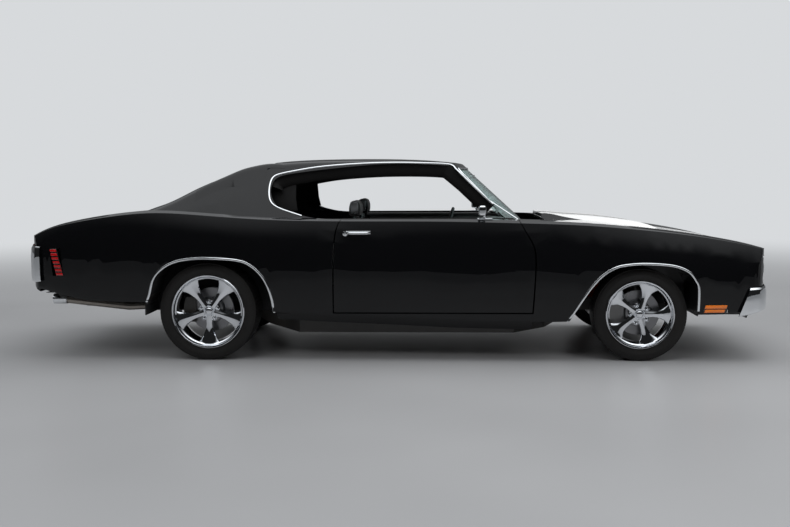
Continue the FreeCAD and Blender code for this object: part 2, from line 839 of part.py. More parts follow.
def side_window_wire():
    """The open side window, door and quarter glass in one, drawn in the side view."""
    front_base = vector(window_front_base_x, 0, window_sill_z)
    front_top = vector(window_front_top_x, 0, window_front_top_z)
    rear_low = vector(window_rear_x + quarter_corner, 0, window_sill_z + quarter_rise)
    rear_base = vector(door_rear_top_x - quarter_start, 0, window_sill_z)
    roof_line = [
        front_top,
        vector(window_front_top_x - window_top_run / 3, 0, window_front_top_z + window_top_arch),
        vector(window_front_top_x - 2 * window_top_run / 3, 0, window_front_top_z + window_top_arch / 2),
        vector(window_rear_x + quarter_top_run, 0, window_front_top_z - quarter_top_drop),
        vector(window_rear_x, 0, window_front_top_z - quarter_top_drop - quarter_corner / 2),
        vector(window_rear_x, 0, window_sill_z + quarter_rise + quarter_corner),
        rear_low,
    ]
    sill_curve = [
        rear_low,
        vector(rear_low.x + quarter_sweep, 0, window_sill_z + quarter_rise / 3),
        vector(rear_base.x - quarter_sweep, 0, window_sill_z),
        rear_base,
    ]
    return Part.Wire([
        Part.makeLine(front_base, front_top),
        spline(roof_line),
        spline(sill_curve),
        Part.makeLine(rear_base, front_base),
    ])


def door_wire(gap):
    """Door outline in the side view, shrunk by gap on every side but the top."""
    top = overall_height
    front = [
        vector(door_front_top_x - gap, 0, window_sill_z + gap),
        vector(door_front_top_x + door_front_bow - gap, 0, (window_sill_z + door_front_waist_z) / 2),
        vector(door_front_waist_x - gap, 0, door_front_waist_z + door_corner_radius),
        vector(door_front_waist_x - gap, 0, door_front_waist_z - door_corner_radius),
        vector(door_front_bottom_x - gap, 0, door_bottom_z + gap),
    ]
    rear = [
        vector(door_rear_top_x + gap, 0, window_sill_z + gap),
        vector(door_rear_waist_x + gap, 0, door_rear_waist_z + door_corner_radius),
        vector(door_rear_waist_x + gap, 0, door_rear_waist_z),
        vector(door_rear_waist_x + gap, 0, door_bottom_z + gap),
    ]
    return Part.Wire([
        Part.makeLine(vector(door_rear_top_x + gap, 0, top), vector(door_front_top_x - gap, 0, top)),
        Part.makeLine(vector(door_front_top_x - gap, 0, top), front[0]),
        spline(front),
        Part.makeLine(front[-1], rear[-1]),
        spline(rear[::-1]),
        Part.makeLine(rear[0], vector(door_rear_top_x + gap, 0, top)),
    ])


def arch_wire(axle_x, outline_shares, reach, grow, smooth):
    """Wheel opening in the side view: a smooth or a straight-sided line over the wheel, closed well below it."""
    points = [vector(axle_x + u * (reach + grow), 0, v * (reach + grow)) for u, v in outline_shares]
    low_front = vector(points[0].x, 0, -overrun)
    low_rear = vector(points[-1].x, 0, -overrun)
    over = [through(points)] if smooth else lines(points)
    return Part.Wire(over + [
        Part.makeLine(points[-1], low_rear),
        Part.makeLine(low_rear, low_front),
        Part.makeLine(low_front, points[0]),
    ])


front_arch_reach = 488.0
front_arch_shares = (
    (0.728, 0.57), (0.731, 0.96), (0.690, 1.085), (0.588, 1.203), (0.386, 1.279), (0.036, 1.305),
    (-0.214, 1.289), (-0.363, 1.252), (-0.513, 1.160), (-0.642, 1.027), (-0.758, 0.865),
    (-0.873, 0.684), (-1.0, 0.49),
)
rear_arch_reach = 449.0
rear_arch_shares = (
    (1.0, 0.62), (0.948, 0.960), (0.841, 1.214), (0.660, 1.396), (0.451, 1.474), (0.028, 1.503),
    (-0.255, 1.488), (-0.469, 1.439), (-0.643, 1.339), (-0.761, 1.198), (-0.832, 0.955),
    (-0.905, 0.80),
)


def front_arch(grow, smooth):
    return arch_wire(front_axle_x, front_arch_shares, front_arch_reach, grow, smooth)


def rear_arch(grow, smooth):
    return arch_wire(rear_axle_x, rear_arch_shares, rear_arch_reach, grow, smooth)


def ranged(x_range, y_range, z_range):
    """Block that fills three (from, to) ranges."""
    return box(x_range[0], x_range[1], y_range[0], y_range[1], z_range[0], z_range[1])


def centred(x_range, half, z_range):
    """Block across the middle of the car."""
    return box(x_range[0], x_range[1], -half, half, z_range[0], z_range[1])


def side_block(x_range, y_range, z_range):
    """Block on the right side of the car, with its y range given as distances from the middle."""
    return box(x_range[0], x_range[1], -y_range[1], -y_range[0], z_range[0], z_range[1])


def outline(points):
    """Closed wire in the side view from (x, z) points."""
    return polygon([side_point(x, z) for x, z in points])


def upright_rod(x, y, radius, z0, z1):
    return Part.makeCylinder(radius, z1 - z0, vector(x, y, z0))


def cross_rod(x, z, radius, y0, y1):
    """Round rod along the width of the car."""
    return Part.makeCylinder(radius, y1 - y0, vector(x, y0, z), vector(0, 1, 0))


def rod(start, end, radius):
    """Round rod between two points."""
    return Part.makeCylinder(radius, (end - start).Length, start, end - start)


def beam(path, width, height):
    """Box section carried along the car through (x, y, z) centres, on the right side."""
    wires = []
    for x, y, z in path:
        corners = ((-1, -1), (1, -1), (1, 1), (-1, 1))
        wires.append(polygon([vector(x, -y + a * width / 2, z + b * height / 2) for a, b in corners]))
    return Part.makeLoft(wires, True, True)


def swept(path, way):
    """Band that follows a half path given from the middle outward, carried round both sides.

    The path holds (distance back from the end of the car, y, bottom, top); way is 1 at the nose, -1 at the tail.
    """
    right = [(way * (nose_x - back), -way * y, low, high) for back, y, low, high in path]
    left = [(x, -y, low, high) for x, y, low, high in right[1:]]
    stations = right[::-1] + left
    wires = []
    for index, (x, y, low, high) in enumerate(stations):
        before = stations[max(index - 1, 0)]
        after = stations[min(index + 1, len(stations) - 1)]
        run = math.hypot(after[0] - before[0], after[1] - before[1])
        out_x = (after[1] - before[1]) / run
        out_y = (before[0] - after[0]) / run
        corners = []
        for in_share, up_share in bumper_profile_shares:
            inward = in_share * bumper_thickness
            corners.append(vector(x - inward * out_x, y - inward * out_y, low + up_share * (high - low)))
        wires.append(polygon(corners))
    return Part.makeLoft(wires, True, True)


def front_region():
    """Everything in front of the door's leading edge."""
    spline_points = [
        side_point(door_front_top_x, window_sill_z),
        side_point(door_front_top_x + door_front_bow, (window_sill_z + door_front_waist_z) / 2),
        side_point(door_front_waist_x, door_front_waist_z + door_corner_radius),
        side_point(door_front_waist_x, door_front_waist_z - door_corner_radius),
        side_point(door_front_bottom_x, door_bottom_z),
    ]
    far = nose_x + overrun
    rest = lines([
        spline_points[-1], side_point(door_front_bottom_x, -overrun), side_point(far, -overrun),
        side_point(far, overall_height), side_point(door_front_top_x, overall_height), spline_points[0],
    ])
    return side_prism(joined_wire([spline(spline_points)] + rest), -overall_width, overall_width)


def nose_region(shift):
    """Everything in front of the seam behind the nose panel."""
    rise = nose_top_z - nose_foot_z
    slope = (nose_seam_top_x - nose_seam_bottom_x) / rise
    foot = nose_seam_bottom_x - slope * (nose_foot_z + overrun) + shift
    head = nose_seam_top_x + slope * (overall_height - nose_top_z) + shift
    far = nose_x + overrun
    wire = outline([(foot, -overrun), (far, -overrun), (far, overall_height), (head, overall_height)])
    return side_prism(wire, -overall_width, overall_width)


def hood_region(gap):
    """Plan area of the hood, less a gap all round, above the top of the nose."""
    area = box(hood_rear_x + gap, nose_x, -hood_half_width + gap, hood_half_width - gap, hood_floor_z, overall_height)
    return area.cut(nose_region(-gap))


def deck_region(gap, front_gap):
    return box(
        deck_rear_x + gap, deck_front_x - front_gap, -deck_half_width + gap, deck_half_width - gap,
        deck_floor_z, overall_height,
    )


def door_block(gap):
    """The door's volume on the right side, shrunk by gap."""
    block = side_prism(door_wire(gap), -overall_width, -door_opening_inner_y)
    top = door_opening_top_z
    return block.common(box(tail_x, nose_x, -overall_width, 0, 0, top))


def deck_pivot_z():
    return height_at(crown_height_shares, deck_pivot_x) - deck_pivot_drop


def body_shell(skin, core, fenders):
    """Roof, quarters, sills, pillars and cowl in one piece, with every opening cut."""
    shell = skin.cut(front_region())
    for side in both_sides(door_block(0)):
        shell = shell.cut(side)
    shell = shell.cut(side_prism(rear_arch(0, True), -overall_width, overall_width))
    cowl_hole = centred((0, nose_x), hood_half_width, (cowl_z[1], cowl_opening_top_z))
    shell = shell.cut(cowl_hole.common(windscreen_block(-leaned_reach / 5)))
    shell = shell.cut(deck_region(0, 0))
    for side in both_sides(rear_marker_block(0)):
        shell = shell.cut(side)
    blocks = []
    for x_range, y_range, z_range in (
        (sill_x, sill_y, (0, sill_top_z)),
        (hinge_pillar_x, hinge_pillar_y, hinge_pillar_z),
        (cowl_side_x, cowl_side_y, cowl_side_z),
        (quarter_wall_x, quarter_wall_y, quarter_wall_z),
        (lock_pillar_x, (quarter_wall_y[0], sill_y[1]), quarter_wall_z),
        (quarter_upper_x, quarter_wall_y, quarter_upper_z),
        ((quarter_upper_x[0], quarter_wall_x[1]), (quarter_wall_y[0], sill_y[1]), quarter_sill_z),
    ):
        blocks += both_sides(side_block(x_range, y_range, z_range).common(core))
    blocks.append(centred(cowl_x, cowl_side_y[1], cowl_z))
    blocks = [block.cut(fenders) for block in blocks]
    for z in hinge_heights:
        blocks += both_sides(hinge_arm(z))
    blocks += both_sides(hood_bracket())
    blocks += both_sides(deck_bracket())
    return shell.fuse(blocks)


def hinge_arm(z):
    """Arm from the hinge pillar to the door's pivot, with its pin."""
    y = -door_swing_y
    root = -hinge_pillar_y[1]
    base = z - hinge_arm_height / 2
    plan = polygon([
        vector(hinge_arm_root_x[0], root, base),
        vector(hinge_arm_root_x[1], root, base),
        vector(door_swing_x + hinge_arm_tip_half_width, y, base),
        vector(door_swing_x - hinge_arm_tip_half_width, y, base),
    ])
    arm = prism(plan, vector(0, 0, hinge_arm_height))
    eye = upright_rod(door_swing_x, y, hinge_arm_tip_half_width, base, base + hinge_arm_height)
    low = base - hinge_pin_reach
    high = base + hinge_arm_height + hinge_pin_reach
    pin = upright_rod(door_swing_x, y, hinge_pin_radius, low, high)
    return fused([arm, eye, pin])


def hood_bracket():
    """Bracket on the cowl with the hood's hinge pin."""
    bracket = side_block(
        (cowl_x[1] - hood_hinge_half_length, hood_pivot_x + hood_hinge_half_length), hood_bracket_y,
        (cowl_z[0], hood_pivot_z + hood_hinge_half_length),
    )
    pin = cross_rod(hood_pivot_x, hood_pivot_z, hinge_pin_radius, -hood_bracket_y[0], -hood_hinge_y[0] + panel_gap / 2)
    return fused([bracket, pin])


def deck_bracket():
    """Bracket under the panel ahead of the deck lid, with the lid's hinge pin."""
    z = deck_pivot_z()
    skin_z = z + deck_pivot_drop - skin_thickness / 2
    bracket = side_block(
        (deck_pivot_x - deck_bracket_half_length, deck_pivot_x + deck_bracket_half_length), deck_bracket_y,
        (z - deck_bracket_half_length, skin_z),
    )
    pin = cross_rod(deck_pivot_x, z, hinge_pin_radius, -deck_bracket_y[0], -deck_hinge_y[0] + panel_gap / 2)
    return fused([bracket, pin])


def front_fender(skin, core):
    """Right front fender, from the door to the nose seam, with the wall that stands on the inner fender."""
    side = box(0, nose_x, -overall_width, -hood_half_width, 0, overall_height)
    fender = skin.common(side).common(front_region())
    fender = fender.cut(nose_region(0))
    fender = fender.cut(side_prism(front_arch(0, True), -overall_width, 0))
    wall = side_block(fender_wall_x, fender_wall_y, (apron_z[1] + seat_gap, overall_height)).common(core)
    return fender.fuse(wall).cut(marker_block(0))


def marker_block(gap):
    """Place of the front side marker, on the right side."""
    x_range = (front_marker_x[0] + gap, front_marker_x[1] - gap)
    return side_block(x_range, (hood_half_width, overall_width), (front_marker_z[0] + gap, front_marker_z[1] - gap))


def rear_marker_block(gap):
    """Place of the rear side marker: leaned, on the right side."""
    low, high = rear_marker_low_x
    bottom, top = rear_marker_z
    wire = outline([
        (low + gap, bottom + gap), (high - gap, bottom + gap),
        (high - gap - rear_marker_slant, top - gap), (low + gap - rear_marker_slant, top - gap),
    ])
    return side_prism(wire, -overall_width, -hood_half_width)


def nose_panel(skin):
    nose = skin.common(nose_region(seam_gap))
    hole = centred((nose_seam_bottom_x - overrun, nose_x), grille_half_width, grille_z)
    return nose.cut(hole)


def hood_panel(body, hollow):
    """Hood with its raised dome and its hinge plates."""
    panel = body.common(hood_region(panel_gap)).cut(hollow)
    wires = []
    for x, rise, half in zip(hood_stations_x, hood_dome_heights, hood_dome_half_widths):
        base = height_at(crown_height_shares, x)
        foot = base - hood_dome_root - min(rise, 0)
        corners = [
            vector(x, -half - hood_dome_shoulder, foot), vector(x, -half, base + rise),
            vector(x, half, base + rise), vector(x, half + hood_dome_shoulder, foot),
        ]
        wires.append(polygon(corners))
    dome = Part.makeLoft(wires, True, False)
    plates = []
    for y0, y1 in (hood_hinge_y,):
        top = height_at(ridge_height_shares, hood_pivot_x) - hood_thickness / 2
        x_range = (hood_rear_x + panel_gap, hood_pivot_x + hood_hinge_root)
        plate = side_block(x_range, (y0, y1), (hood_pivot_z - hood_hinge_half_length, top))
        bore = cross_rod(hood_pivot_x, hood_pivot_z, hinge_pin_radius + hinge_bore_clearance, -y1, -y0)
        plates += both_sides(plate.cut(bore))
    return panel.fuse([dome] + plates).removeSplitter()


def deck_lid(body, hollow):
    """Deck lid with its goose-neck hinge arms."""
    panel = body.common(deck_region(panel_gap, deck_front_gap)).cut(hollow)
    z = deck_pivot_z()
    arms = []
    half = deck_arm_width / 2
    steps = deck_arm_steps
    segments = []
    for (x0, z0), (x1, z1) in zip(steps, steps[1:]):
        run = math.hypot(x1 - x0, z1 - z0)
        across = ((z1 - z0) / run * half, -(x1 - x0) / run * half)
        along = ((x1 - x0) / run * half, (z1 - z0) / run * half)
        corners = [
            (x0 + across[0] - along[0], z0 + across[1] - along[1]), (x1 + across[0], z1 + across[1]),
            (x1 - across[0], z1 - across[1]), (x0 - across[0] - along[0], z0 - across[1] - along[1]),
        ]
        wire = outline([(deck_pivot_x + a, z + b) for a, b in corners])
        segments.append(side_prism(wire, -deck_hinge_y[1], -deck_hinge_y[0]))
    bore = cross_rod(deck_pivot_x, z, hinge_pin_radius + hinge_bore_clearance, -deck_hinge_y[1], -deck_hinge_y[0])
    arm = fused(segments).cut(bore).common(body)
    arms += both_sides(arm)
    return panel.fuse(arms).removeSplitter()


def door(body):
    """Right door, as thick as the whole real one, with the pockets for its hinge arms."""
    block = side_prism(door_wire(door_gap), -overall_width, -door_inner_half_width)
    leaf = body.common(block.common(box(tail_x, nose_x, -overall_width, 0, 0, window_sill_z)))
    for z in hinge_heights:
        half = hinge_arm_height / 2 + hinge_pocket_clearance
        pocket = side_block((hinge_pocket_x, nose_x), (0, hinge_pocket_y), (z - half, z + half))
        leaf = leaf.cut(pocket)
        reach = half + hinge_bore_depth
        bore = upright_rod(door_swing_x, -door_swing_y, hinge_pin_radius + hinge_bore_clearance, z - reach, z + reach)
        leaf = leaf.cut(bore)
    return leaf


def mirror_shape():
    head = side_block(mirror_head_x, mirror_head_y, mirror_head_z)
    along = [e for e in head.Edges if abs(e.tangentAt(e.FirstParameter).x) > 0.99]
    head = head.makeFillet(mirror_corner, along)
    foot = side_block(mirror_foot_x, mirror_foot_y, mirror_foot_z)
    stem = side_block(mirror_stem_x, mirror_foot_y, mirror_stem_z)
    return fused([head, foot, stem])


def handle_shape(body):
    bar = side_block(handle_x, handle_y, handle_z)
    foot_y = (handle_foot_y, handle_y[1])
    front = side_block((handle_x[1] - handle_foot_length, handle_x[1]), foot_y, handle_z)
    rear = side_block((handle_x[0], handle_x[0] + handle_foot_length), foot_y, handle_z)
    return fused([bar, front, rear]).cut(body)


def door_trim(grown):
    lock = cross_rod(lock_x, lock_z, lock_radius, -lock_y[1], -lock_y[0]).cut(grown)
    return [mirror_shape(), handle_shape(grown), lock]


def bumper(path, way, end_wire, slots, brackets_z, tail):
    """Chrome bumper with its slots and the brackets that carry it."""
    band = swept(path, way).common(side_prism(end_wire, -overall_width, overall_width))
    for slot in slots:
        band = band.cut(slot)
    reach = way * (nose_x - bumper_thickness / 2)
    inner = reach - way * bracket_reach
    x_range = (min(reach, inner), max(reach, inner))
    for y_side in both_sides(side_block(x_range, bumper_bracket_y, brackets_z)):
        keep = y_side.common(plan_block(path, way))
        band = band.fuse(keep.cut(plan_limit(-seat_gap).common(side_limit(-seat_gap))))
    return band


def plan_block(path, way):
    """Space inside a bumper's face, up to the middle of its thickness."""
    inset = bumper_thickness / 2
    points = [(way * (nose_x - back - inset), -way * y) for back, y, low, high in path]
    ring = points[::-1] + [(x, -y) for x, y in points[1:]]
    return prism(polygon([vector(x, y, 0) for x, y in ring]), vector(0, 0, overall_height))


def slot_block(y_range, z_range, way):
    """Rounded slot through a bumper, along the car."""
    x_range = (nose_x - overrun, nose_x + overrun) if way > 0 else (tail_x - overrun, tail_x + overrun)
    slot = side_block(x_range, y_range, z_range)
    along = [e for e in slot.Edges if abs(e.tangentAt(e.FirstParameter).x) > 0.99]
    return slot.makeFillet(front_bumper_slot_corner, along)


def front_bumper():
    end = outline([
        (front_bumper_end_top_x, overall_height), (front_bumper_end_top_x, front_bumper_path[0][3]),
        (front_bumper_end_bottom_x, front_bumper_path[-1][2]), (front_bumper_end_bottom_x, 0),
        (nose_x + overrun, 0), (nose_x + overrun, overall_height),
    ])
    middle, outer = front_bumper_slots
    slots = [slot_block((-middle[1], middle[1]), front_bumper_slot_z, 1)]
    slots += both_sides(slot_block(outer, front_bumper_slot_z, 1))
    return bumper(front_bumper_path, 1, end, slots, front_bracket_z, 0)


def rear_bumper():
    end = outline([
        (rear_bumper_end_top_x, overall_height), (rear_bumper_end_bottom_x, 0),
        (tail_x - overrun, 0), (tail_x - overrun, overall_height),
    ])
    slots = both_sides(lamp_block(0))
    start = vector(tail_x - overrun, -plate_hole_spacing / 2, plate_hole_z)
    slots += both_sides(rod(start, start + vector(2 * overrun, 0, 0), plate_hole_radius))
    return bumper(rear_bumper_path, -1, end, slots, rear_bracket_z, 0)


def lamp_block(gap):
    """Opening of a tail lamp in the rear bumper, on the right side."""
    y_range = (tail_lamp_y[0] + gap, tail_lamp_y[1] - gap)
    z_range = (tail_lamp_z[0] + gap, tail_lamp_z[1] - gap)
    return side_block((tail_x - overrun, tail_x + overrun), y_range, z_range)


def tail_lamp():
    """Lens in the rear bumper, set back by its recess, backed by the tail panel."""
    inset = tail_lamp_recess
    points = [(-(nose_x - back - inset), y) for back, y, low, high in rear_bumper_path]
    ring = points[::-1] + [(x, -y) for x, y in points[1:]]
    solid = prism(polygon([vector(x, y, 0) for x, y in ring]), vector(0, 0, overall_height))
    lens = lamp_block(seat_gap).common(solid)
    return lens.cut(plan_limit(-seat_gap).common(side_limit(-seat_gap)))


def bow_band(inset, depth, half, z0, z1):
    """Band across the nose that follows its bow in straight steps, set back by inset."""
    steps = [half * (2 * index / bow_steps - 1) for index in range(bow_steps + 1)]
    front = [vector(bow_x(y) - inset, y, z0) for y in steps]
    back = [vector(bow_x(y) - inset - depth, y, z0) for y in reversed(steps)]
    return prism(polygon(front + back), vector(0, 0, z1 - z0))


def bow_x(y):
    """Front of the nose at distance y from the middle."""
    return nose_x - bumper_stand_off - plan_bow * (y / plan_flat_half_width) ** 2


def grille():
    """Bars, back panel and lamp bezels, all following the nose's bow."""
    bottom = grille_z[0] + seat_gap
    top = grille_z[1] - seat_gap
    half = grille_half_width - seat_gap
    inset = grille_bar_inset
    bar = grille_bar_height
    back = inset + grille_back_inset
    pieces = [bow_band(back, grille_back_thickness, half, bottom, top)]
    step = (top - bottom - bar) / (grille_bar_count - 1)
    for index in range(grille_bar_count):
        z = bottom + index * step
        reach = half if index in (0, grille_bar_count - 1) else grille_inner_half_width
        pieces.append(bow_band(inset, grille_bar_depth, reach, z, z + bar))
    middle = (bottom + top - grille_centre_bar_height) / 2
    pieces.append(bow_band(inset - bar, grille_bar_depth, grille_inner_half_width, middle, middle + grille_centre_bar_height))
    for y in (grille_inner_half_width, half):
        x = bow_x(y) - inset
        pieces += both_sides(box(x - grille_back_inset - bar, x, -y, -y + bar, bottom, top))
    pieces.append(box(bow_x(0) - back - bar, bow_x(0) - inset, -bar / 2, bar / 2, bottom, top))
    for y in lamp_offsets_y:
        x = bow_x(y) - lamp_inset
        start = vector(x - lamp_depth, -y, lamp_z)
        ring = Part.makeCylinder(lamp_radius + lamp_bezel_width, lamp_depth, start, vector(1, 0, 0))
        hole = Part.makeCylinder(lamp_radius + seat_gap, lamp_depth, start, vector(1, 0, 0))
        stalk = box(bow_x(y) - back - bar, x - lamp_depth, -y - bar, -y + bar, lamp_z - lamp_radius, lamp_z + lamp_radius)
        cup = Part.makeCylinder(lamp_radius + lamp_bezel_width, bar, start - vector(bar, 0, 0), vector(1, 0, 0))
        pieces += both_sides(fused([ring.cut(hole), cup, stalk]))
    return fused(pieces)


def headlamp(y):
    """Round lens with a domed face."""
    x = bow_x(y) - lamp_inset
    start = vector(x - lamp_depth + seat_gap, -y, lamp_z)
    body = Part.makeCylinder(lamp_radius, lamp_depth, start, vector(1, 0, 0))
    dome = Part.makeSphere(lamp_dome_radius, vector(x - lamp_dome_radius, -y, lamp_z))
    return body.common(dome)


def slab(block, thickness, recess):
    """Glass between two copies of a leaned surface."""
    return block(-recess - thickness).cut(block(-recess))


def windscreen():
    glass = windscreen_block(-glass_recess - glass_thickness).cut(windscreen_block(-glass_recess))
    return glass.common(windscreen_window(seat_gap))


def backlight():
    glass = backlight_block(glass_recess + glass_thickness, overrun)
    glass = glass.cut(backlight_block(glass_recess, overrun))
    return glass.common(backlight_window(seat_gap))


def floor_tub():
    """Floor, tunnel, firewall, seat pan, shelf, wheel tubs and trunk floor as one sheet."""
    low = floor_z - sheet
    half = floor_half_width
    tunnel_wall = tunnel_half_width - sheet
    pieces = []
    for a, b in ((tunnel_wall, half), (-half, -tunnel_wall)):
        pieces.append(box(seat_pan_x, firewall_x, a, b, low, floor_z))
    for side in both_sides(side_block((tunnel_rear_x, firewall_x), (tunnel_wall, tunnel_half_width), (low, tunnel_top_z))):
        pieces.append(side)
    pieces.append(centred((tunnel_rear_x, firewall_x), tunnel_half_width, (tunnel_top_z - sheet, tunnel_top_z)))
    wall = centred((firewall_x - sheet, firewall_x), firewall_half_width, (low, firewall_top_z))
    pieces.append(wall.cut(centred((0, nose_x), tunnel_wall, (low - sheet, tunnel_top_z - sheet))))
    pan_slot = centred((tail_x, seat_pan_x + sheet), tunnel_wall, (low - sheet, seat_pan_z - sheet))
    pieces.append(centred((seat_pan_x, seat_pan_x + sheet), half, (low, seat_pan_z)).cut(pan_slot))
    pieces.append(centred((seat_pan_x, seat_pan_x + sheet), tunnel_half_width, (seat_pan_z - sheet, tunnel_top_z)))
    pieces.append(centred((axle_floor_x, seat_pan_x + sheet), trunk_half_width, (seat_pan_z - sheet, seat_pan_z)))
    pieces.append(centred((axle_floor_x, axle_floor_x + sheet), trunk_half_width, (seat_pan_z - sheet, axle_floor_z)))
    pieces.append(centred((trunk_floor_x, axle_floor_x + sheet), trunk_half_width, (axle_floor_z - sheet, axle_floor_z)))
    pieces.append(centred((trunk_floor_x, trunk_floor_x + sheet), trunk_half_width, (trunk_floor_z - sheet, axle_floor_z)))
    pieces.append(centred((trunk_end_x, trunk_floor_x + sheet), trunk_half_width, (trunk_floor_z - sheet, trunk_floor_z)))
    pieces.append(centred(shelf_x, shelf_half_width, (shelf_z - sheet, shelf_z)))
    pieces.append(centred((shelf_x[1] - sheet, shelf_x[1]), trunk_half_width, (axle_floor_z - sheet, shelf_z)))
    box_x = (axle_floor_x, seat_pan_x + sheet)
    for x_range, y_range, z_range in (
        (box_x, tub_inner_y, (seat_pan_z - sheet, side_box_z)),
        (box_x, (tub_inner_y[0], half), (side_box_z - sheet, side_box_z)),
        ((seat_pan_x, seat_pan_x + sheet), (tub_inner_y[0], half), (seat_pan_z - sheet, side_box_z)),
    ):
        pieces += both_sides(side_block(x_range, y_range, z_range))
    inner = side_prism(rear_arch(tub_grow[1], False), -tub_inner_y[1], -tub_inner_y[0])
    inner = inner.cut(side_block(axle_notch_x, (0, tub_outer_y), (0, axle_notch_z)))
    ring = side_prism(rear_arch(tub_grow[1], False), -tub_outer_y, -tub_inner_y[0])
    ring = ring.cut(side_prism(rear_arch(tub_grow[0], False), -overall_width, -tub_inner_y[0]))
    above = box(tail_x, nose_x, -overall_width, overall_width, tub_bottom_z, overall_height)
    for tub in both_sides(inner.fuse(ring).common(above)):
        pieces.append(tub)
    return fused(pieces)


def engine_bay():
    """Inner fenders with the liners of the front wheel houses, and the radiator with its support."""
    wall = side_block(apron_x, apron_y, apron_z)
    shelf = side_block(apron_x, (apron_y[0], apron_shelf_y), (apron_z[1] - sheet, apron_z[1]))
    ring = side_prism(front_arch(tub_grow[1], False), -liner_y[1], -liner_y[0])
    ring = ring.cut(side_prism(front_arch(tub_grow[0], False), -overall_width, 0))
    ring = ring.common(box(tail_x, nose_x, -overall_width, 0, liner_bottom_z, overall_height))
    pieces = both_sides(fused([wall, shelf, ring]))
    support = centred(support_x, support_half_width, support_z)
    pieces.append(support.cut(centred((0, nose_x), radiator_half_width - sheet, (radiator_z[0] + sheet, radiator_z[1] - sheet))))
    pieces.append(centred(radiator_x, radiator_half_width, radiator_z))
    back = grille_bar_inset + grille_back_inset + grille_back_thickness + seat_gap
    ahead = bow_band(0, back, grille_half_width, grille_z[0], grille_z[1])
    for y_range in nose_stay_y:
        pieces += both_sides(side_block((support_x[0], bow_x(y_range[0]) - back / 2), y_range, nose_stay_z).cut(ahead))
    return fused(pieces)


def engine_block():
    """Engine and gearbox as plain blocks of the real size, with the air cleaner and the driveshaft."""
    pieces = [centred(engine_x, engine_half_width, engine_z), centred(gearbox_x, gearbox_half_width, gearbox_z)]
    rail_face = front_rail_path[0][1] - rail_width / 2 - seat_gap
    pieces.append(centred(engine_mount_x, rail_face, engine_mount_z))
    pieces.append(upright_rod(air_cleaner_x, 0, air_cleaner_radius, engine_z[1], engine_z[1] + air_cleaner_height))
    start = vector(rear_axle_x + differential_radius + seat_gap, 0, shaft_z)
    pieces.append(rod(start, vector(gearbox_x[0], 0, shaft_z), shaft_radius))
    return fused(pieces)


def chassis_frame():
    """Perimeter frame with its crossmembers and the front spring towers."""
    pieces = []
    for path in (front_rail_path, side_rail_path, rear_rail_path):
        pieces += both_sides(beam(path, rail_width, rail_height_size))
    for x, z, half in crossmember_places:
        low = z - crossmember_height / 2
        bar = centred((x - crossmember_width / 2, x + crossmember_width / 2), half, (low, low + crossmember_height))
        if x > 0:
            for notch in both_sides(side_block((0, nose_x), pipe_notch_y, (0, pipe_notch_z))):
                bar = bar.cut(notch)
            pad_x = (x - crossmember_width / 2, x + crossmember_width / 2)
            pieces.append(centred(pad_x, gearbox_pad_half_width, (z, gearbox_pad_z)))
        pieces.append(bar)
    front_cross_x = (front_axle_x - front_cross_half_length, front_axle_x + front_cross_half_length)
    pieces.append(centred(front_cross_x, front_cross_half_width, front_cross_z))
    pieces += both_sides(side_block(arm_bracket_x, arm_bracket_y, arm_bracket_z))
    along = (front_axle_x - tower_half_length, front_axle_x + tower_half_length)
    post = side_block(along, (tower_y[0], tower_y[0] + tower_wall), tower_z)
    plate_z = tower_z[1] - tower_plate
    plate = prism(polygon([
        vector(along[0], -tower_y[0], plate_z), vector(along[1], -tower_y[0], plate_z),
        vector(along[1], -tower_shoulder_y, plate_z), vector(front_axle_x + tower_end_half_length, -tower_y[1], plate_z),
        vector(front_axle_x - tower_end_half_length, -tower_y[1], plate_z), vector(along[0], -tower_shoulder_y, plate_z),
    ]), vector(0, 0, tower_plate))
    pieces += both_sides(fused([post, plate]))
    posts = side_block(
        (front_axle_x - crossmember_width / 2, front_axle_x + crossmember_width / 2),
        (tower_y[0] - tower_wall, tower_y[0] + tower_wall),
        (front_cross_z[0], tower_z[0]),
    )
    pieces += both_sides(posts)
    return fused(pieces)


def wishbone(spread, root_y, z_range):
    """Two bars from the frame to an eye round the kingpin, on the right side."""
    low, high = z_range
    y = -kingpin_y
    half = arm_bar_width / 2
    pieces = [upright_rod(front_axle_x, y, arm_eye_radius, low, high)]
    for way in (-1, 1):
        foot = front_axle_x + way * spread
        bar = polygon([
            vector(front_axle_x - half, y, low), vector(front_axle_x + half, y, low),
            vector(foot + half, -root_y, low), vector(foot - half, -root_y, low),
        ])
        pieces.append(prism(bar, vector(0, 0, high - low)))
    bore = upright_rod(front_axle_x, y, kingpin_radius + bearing_clearance, low, high)
    return fused(pieces).cut(bore)


def front_suspension():
    lower = wishbone(lower_arm_spread, lower_arm_root_y, lower_arm_z)
    cross = side_block(
        (front_axle_x - lower_arm_spread / 2, front_axle_x + lower_arm_spread / 2),
        (spring_y - arm_bar_width, spring_y + arm_bar_width), lower_arm_z,
    )
    upper = wishbone(upper_arm_spread, upper_arm_root_y, upper_arm_z)
    spring = upright_rod(front_axle_x, -spring_y, spring_radius, lower_arm_z[1], tower_z[1] - tower_plate - seat_gap)
    return both_sides(fused([lower, cross, spring, upper]))


def knuckle():
    """Right steering knuckle with its pins, spindle and brake caliper."""
    x_range = (front_axle_x - upright_x, front_axle_x + upright_x)
    upright = side_block(x_range, upright_y, upright_z)
    pins = upright_rod(front_axle_x, -kingpin_y, kingpin_radius, kingpin_z[0], kingpin_z[1])
    hub_z = front_tyre_diameter / 2
    spindle = cross_rod(front_axle_x, hub_z, spindle_radius, -spindle_end_y, -upright_y[0])
    return fused([upright, pins, spindle, caliper(front_axle_x, hub_z, front_disc_diameter, upright_y)])


